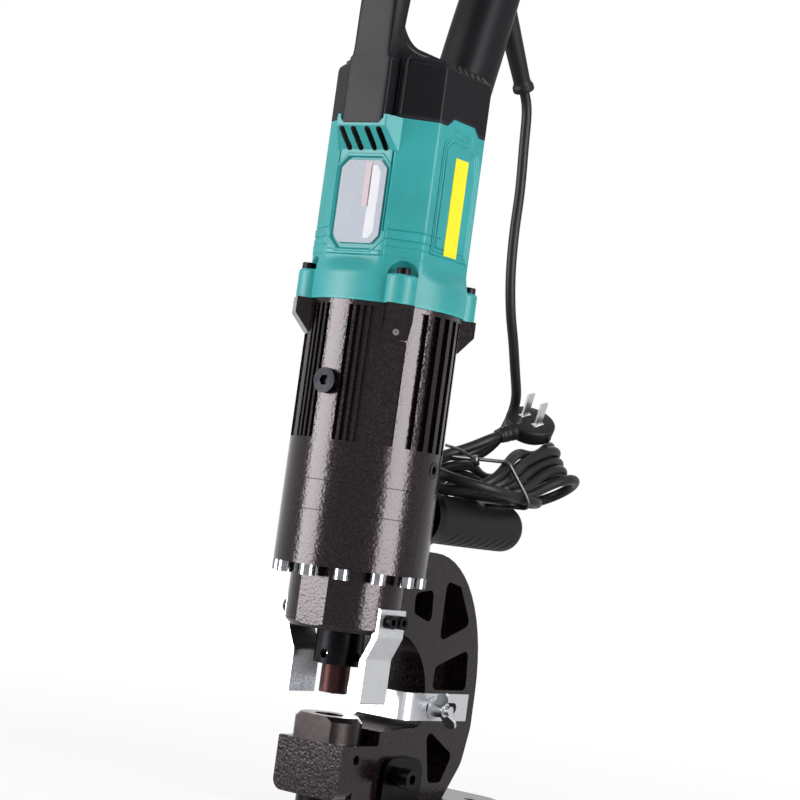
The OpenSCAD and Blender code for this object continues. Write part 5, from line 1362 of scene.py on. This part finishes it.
class PUNCH_OT_side_grip(bpy.types.Operator):
    """Makes the side handle's grip with its finger grooves and its mould seam"""
    bl_idname = "punch.side_grip"
    bl_label = "Side Grip"

    def execute(self, context):
        start, length, radius, edge = 72.0, 105.0, 16.0, 9
        bulge, groove_depth, grooves, first, pitch = 0.25, 0.9, 8, 17, 9.6
        seam_at, seam_depth, seam_from, seam_to = math.radians(-12), 0.3, 22, 88
        profile = [(0, 13.0), (0.4, 14.0), (3.2, radius)]
        profile += [(y, radius + bulge * math.sin(math.pi * y / length))
                    for y in np.linspace(4, length - 9.5, 130)]
        profile += [(length - edge + edge * math.sin(a), radius - edge + edge * math.cos(a))
                    for a in np.radians(range(4, 90, 7))]
        profile += [(length, 6.5), (length + 0.01, 3)]
        lathe = Vector((0, 0, 1)).rotation_difference(Vector((0, 1, 0))).to_matrix()

        def off(turn, middle):
            """How far a turn is from another, from minus half a turn to half a turn."""
            return (turn - middle + math.pi) % (2 * math.pi) - math.pi

        def relief(lathe_turn, along):
            """Depth of the finger grooves, which run round the underside and curve forward, and of the seam."""
            spot = lathe @ Vector((math.cos(lathe_turn), math.sin(lathe_turn), 0))
            turn = math.atan2(spot.z, spot.x) % (2 * math.pi)
            under = off(turn, math.pi * 1.5)
            at = first + pitch * np.arange(grooves) + 7 * (under / 1.2) ** 2
            cuts = groove_depth * step(1.25, 0.85, abs(under)) * step(0.95, 0.35, np.abs(along - at))
            seam = seam_depth * step(0.5, 0.15, abs(off(turn, seam_at)) * radius)
            return float(cuts.sum() + seam * (seam_from < along < seam_to))

        piece = turned("side_grip_skin", profile, (0, start, GRIP_AXIS_Z), (0, 1, 0), "rubber_black", sides=220,
                       relief=relief)
        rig.replaces(piece, "side_grip")
        return {"FINISHED"}


# ---- finishes of the CAD nodes, and small trim ----

class PUNCH_OT_finish_frame(bpy.types.Operator):
    """Gives every carried-over node its finish and its worked edges"""
    bl_idname = "punch.finish_frame"
    bl_label = "Frame Finishes"

    def execute(self, context):
        for finish, names in NODE_FINISH.items():
            for name in names:
                for slot in bpy.data.objects[name].material_slots:
                    slot.material = FINISH[finish]
        for name, size in EDGE_ROUND.items():
            bevel = bpy.data.objects[name].modifiers.new("worked_edges", "BEVEL")
            bevel.width = size * MM
            bevel.segments = 2
            bevel.limit_method = "ANGLE"
            bevel.angle_limit = math.radians(40)
            bevel.harden_normals = False
        return {"FINISHED"}


class PUNCH_OT_trim(bpy.types.Operator):
    """Adds the nameplate's bare bands and the parting lines cast round the cylinder"""
    bl_idname = "punch.trim"
    bl_label = "Trim"

    def execute(self, context):
        plate = bpy.data.objects["nameplate"]
        view = CameraView(context.scene.punch_camera)
        low, high = corners("nameplate")
        proud, deep = 0.06, 0.2
        # The white band runs the plate's whole height and has its chamfers; the pink one is a short bar on it.
        for key, name, finish, half_w, half_h, chamfer in (
                ("plate white band", "nameplate_white_band", "plate_white", 3.6, 22.6, 3.2),
                ("plate pink band", "nameplate_pink_band", "plate_pink", 2.6, 14.0, 0.0)):
            at = place_on(view, [plate], *IMAGE_POINTS[key])
            x, y = min(at.x, high.x - half_w - 0.4), low.y - proud
            z = (low.z + high.z) / 2 if chamfer else at.z
            corner = chamfer * 1.3
            left, right, foot, top = x - half_w, x + half_w, z - half_h, z + half_h
            shape = [(left, foot), (right - chamfer, foot), (right, foot + corner),
                     (right, top - corner), (right - chamfer, top), (left, top)]
            n = len(shape)
            points = [(a, y, b) for a, b in shape] + [(a, y + deep, b) for a, b in shape]
            faces = [tuple(range(n)), tuple(range(2 * n - 1, n - 1, -1))]
            faces += [(i, n + i, n + (i + 1) % n, (i + 1) % n) for i in range(n)]
            new_piece(name, points, faces, finish, smooth=False)
        # Faint ridges where the cylinder's casting moulds met.
        radius = corners("cylinder")[1].x
        round_it = [(radius * math.sin(a), -radius * math.cos(a))
                    for a in np.linspace(0, 2 * np.pi, 160, endpoint=False)]
        for name, z in (("casting_line_low", 186.5), ("casting_line_high", 205.0)):
            path = [(x, y, z) for x, y in round_it]
            lofted_ring(name, along_path(path, 0.28, 8, closed=True), "hammertone")
        return {"FINISHED"}


# ---- camera, floor and light ----

class PUNCH_OT_camera(bpy.types.Operator):
    """Sets the camera at the photograph's angle"""
    bl_idname = "punch.camera"
    bl_label = "Camera"

    def execute(self, context):
        view = CameraView(context.scene.punch_camera)
        data = bpy.data.cameras.new("studio_camera")
        data.lens = view.lens
        data.sensor_width = view.sensor
        data.sensor_fit = "AUTO"
        data.clip_start, data.clip_end = 0.05, 50
        camera = bpy.data.objects.new("studio_camera", data)
        context.scene.collection.objects.link(camera)
        axes = Matrix((view.right, view.up, -view.aim)).transposed().to_4x4()
        camera.matrix_world = Matrix.Translation(view.place) @ axes
        context.scene.camera = camera
        return {"FINISHED"}


def soft_lamp(name, place, aim, size, watts, diffuse=True, glossy=True):
    """A soft box: a rectangular lamp at a place, aimed at a point, in metres. It may light only diffuse
    or only glossy surfaces, so that bands of reflection stay strong while a colour renders as written."""
    data = bpy.data.lights.new(name, "AREA")
    data.shape = "RECTANGLE"
    data.size, data.size_y = size
    data.energy = watts
    lamp = bpy.data.objects.new(name, data)
    bpy.context.scene.collection.objects.link(lamp)
    lamp.location = place
    lamp.rotation_euler = (Vector(aim) - Vector(place)).to_track_quat("-Z", "Y").to_euler()
    lamp.visible_diffuse = diffuse
    lamp.visible_glossy = glossy


class PUNCH_OT_stage(bpy.types.Operator):
    """Sets the pale floor, the white surroundings and the soft boxes"""
    bl_idname = "punch.stage"
    bl_label = "Stage and Light"

    def execute(self, context):
        scene = context.scene
        made, tree, shader, place = start_material("pale_studio_floor")
        add_node(tree, shader, values={"Base Color": (0.86, 0.86, 0.87, 1), "Roughness": 0.7})
        rays = add_node(tree, "ShaderNodeLightPath").outputs
        seen = add_node(tree, "ShaderNodeMath", {0: rays["Is Camera Ray"], 1: rays["Is Glossy Ray"]},
                        operation="MAXIMUM")
        # Near the object the floor keeps its shadow; further off it goes over into the white round it.
        reach = add_node(tree, "ShaderNodeVectorMath", {0: place}, operation="LENGTH")
        white = add_node(tree, "ShaderNodeMapRange", {"Value": reach.outputs["Value"]},
                         {"From Min": 0.3, "From Max": 0.8, "To Min": 0.85, "To Max": 1.0})
        part = add_node(tree, "ShaderNodeMath", {0: seen.outputs[0], 1: white.outputs["Result"]},
                        operation="MULTIPLY")
        glow = add_node(tree, "ShaderNodeEmission", values={"Color": (1, 1, 1, 1), "Strength": 1.0})
        mix = add_node(tree, "ShaderNodeMixShader",
                       {0: part.outputs[0], 1: shader.outputs[0], 2: glow.outputs[0]})
        add_node(tree, tree.nodes["Material Output"], {"Surface": mix.outputs[0]})
        half, drop = 6, -0.0005
        mesh = bpy.data.meshes.new("studio_floor")
        mesh.from_pydata([(-half, -half, drop), (half, -half, drop), (half, half, drop), (-half, half, drop)],
                         [], [(0, 1, 2, 3)])
        mesh.materials.append(made)
        floor = bpy.data.objects.new("studio_floor", mesh)
        scene.collection.objects.link(floor)
        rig.stage(floor)

        world = bpy.data.worlds.new("studio_white")
        scene.world = world
        world.use_nodes = True
        sky = world.node_tree
        rays = add_node(sky, "ShaderNodeLightPath").outputs
        seen = add_node(sky, "ShaderNodeMath", {0: rays["Is Camera Ray"], 1: rays["Is Transmission Ray"]},
                        operation="MAXIMUM")
        seen = add_node(sky, "ShaderNodeMath", {0: seen.outputs[0], 1: rays["Is Glossy Ray"]},
                        operation="MAXIMUM")
        level = add_node(sky, "ShaderNodeMapRange", {"Value": seen.outputs[0]}, {"To Min": 0.26, "To Max": 1.0})
        add_node(sky, sky.nodes["Background"], {"Strength": level.outputs["Result"]}, {"Color": (1, 1, 1, 1)})

        # The boxes stand 15% further off than the strips, or they would shade them.
        for name, (x, y, z) in (("key", (-0.823, -1.133, 0.62)), ("side", (1.40, -0.05, 0.62))):
            soft_lamp(f"{name}_box", (1.15 * x, 1.15 * y, z), (0, 0, 0.5), (0.5, 1.25), 15, glossy=False)
            soft_lamp(f"{name}_strip", (x, y, z), (0, 0, 0.5), (0.80, 1.3), 78, diffuse=False)
        soft_lamp("back_box", (-0.7, 1.3, 0.9), (0, 0, 0.3), (0.7, 0.9), 4)
        soft_lamp("top_box", (0.1, -0.3, 1.8), (0, 0, 0.3), (0.9, 0.6), 4)
        scene.view_settings.view_transform = "Standard"
        return {"FINISHED"}


# ---- panel, points and the run ----

# The pieces whose middles show at image points, and those that make the object's left edge.
SHOWN_BY = {
    "tie head": "tie_head", "plate middle": "nameplate", "plate white band": "nameplate_white_band",
    "plate pink band": "nameplate_pink_band", "strip middle": "side_strip", "oil plug": "oil_filler_plug",
    "bleed screw": "bleed_screw", "port plug": "port_plug", "punch": "punch", "wing nut": "wing_nut",
    "plug disc": "plug_disc",
}
LEFT_SIDE = ("cylinder", "pump_housing", "motor_housing_skin", "base_plate", "c_frame")


def shown_points(view):
    """How far each thing shows from its image point, in pixels."""
    bpy.context.view_layer.update()
    seen = bpy.context.evaluated_depsgraph_get()

    def spots(name):
        e = bpy.data.objects[name].evaluated_get(seen)
        mesh = e.to_mesh()
        out = [view.shows_at(e.matrix_world @ v.co) for v in mesh.vertices]
        e.to_mesh_clear()
        return np.array(out)

    def middle(name, part=None):
        s = spots(name)
        if part is not None:
            s = s[part(s)]
        return (s.min(axis=0) + s.max(axis=0)) / 2

    found = {point: middle(name) for point, name in SHOWN_BY.items()}
    every = np.vstack([spots(name) for name in LEFT_SIDE])
    for point, x in (("left edge", every[:, 0].min()), ("right edge", spots("cable_boot_skin")[:, 0].max()),
                     ("side grip end", spots("side_grip_skin")[:, 0].max())):
        found[point] = (x, IMAGE_POINTS[point][1])

    def front_right(s):
        """Only the head of the screw at the front right shows, so the shank is left out."""
        near = np.abs(s[:, 0] - IMAGE_POINTS["lobe screw"][0]) < 25
        return near & (s[:, 1] < s[near, 1].min() + 9)

    found["lobe screw"] = middle("motor_lobe_screws", front_right)
    return {name: [round(float(found[name][i] - point[i]), 1) for i in (0, 1)]
            for name, point in IMAGE_POINTS.items()}


class PUNCH_PT_sidebar(bpy.types.Panel):
    """Lists the punch's sizes and colours, and a button for each step that makes its pieces"""
    bl_idname = "PUNCH_PT_sidebar"
    bl_label = "Hole Punch"
    bl_space_type = "VIEW_3D"
    bl_region_type = "UI"
    bl_category = "Hole Punch"

    def draw(self, context):
        for group in (context.scene.punch_colours, context.scene.punch_housing, context.scene.punch_cord,
                      context.scene.punch_camera):
            box = self.layout.box()
            for name in group.bl_rna.properties.keys():
                if name not in ("rna_type", "name"):
                    box.prop(group, name)
        for step_class in STEPS:
            self.layout.operator(step_class.bl_idname)


GROUPS = {
    "punch_colours": PunchColours,
    "punch_housing": PunchHousingSizes,
    "punch_cord": PunchCordSizes,
    "punch_camera": PunchCameraSizes,
}
STEPS = (PUNCH_OT_camera, PUNCH_OT_cord, PUNCH_OT_motor_housing, PUNCH_OT_rear_cap, PUNCH_OT_d_handle,
         PUNCH_OT_side_grip, PUNCH_OT_finish_frame, PUNCH_OT_trim, PUNCH_OT_stage)


def register():
    for each in (*GROUPS.values(), *STEPS, PUNCH_PT_sidebar):
        bpy.utils.register_class(each)
    for name, group in GROUPS.items():
        setattr(bpy.types.Scene, name, bpy.props.PointerProperty(type=group))


def unregister():
    for name in GROUPS:
        delattr(bpy.types.Scene, name)
    for each in reversed((*GROUPS.values(), *STEPS, PUNCH_PT_sidebar)):
        bpy.utils.unregister_class(each)


def main():
    register()
    scene = bpy.context.scene
    make_finishes(scene.punch_colours)
    for each in STEPS:
        group, name = each.bl_idname.split(".")
        getattr(getattr(bpy.ops, group), name)()
    view = CameraView(scene.punch_camera)
    try:
        shown = shown_points(view)
    except (KeyError, ValueError) as trouble:
        shown = {"not worked out": str(trouble)}
    with open("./points.json", "w") as out:
        json.dump(shown, out, indent=1)
    box = lambda bounds: [list(map(float, corner)) for corner in bounds]
    with open("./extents.json", "w") as out:
        json.dump({"cad": box(CAD_BOX), "visual": box(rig.bounds())}, out, indent=1)


if __name__ == "__main__":
    main()
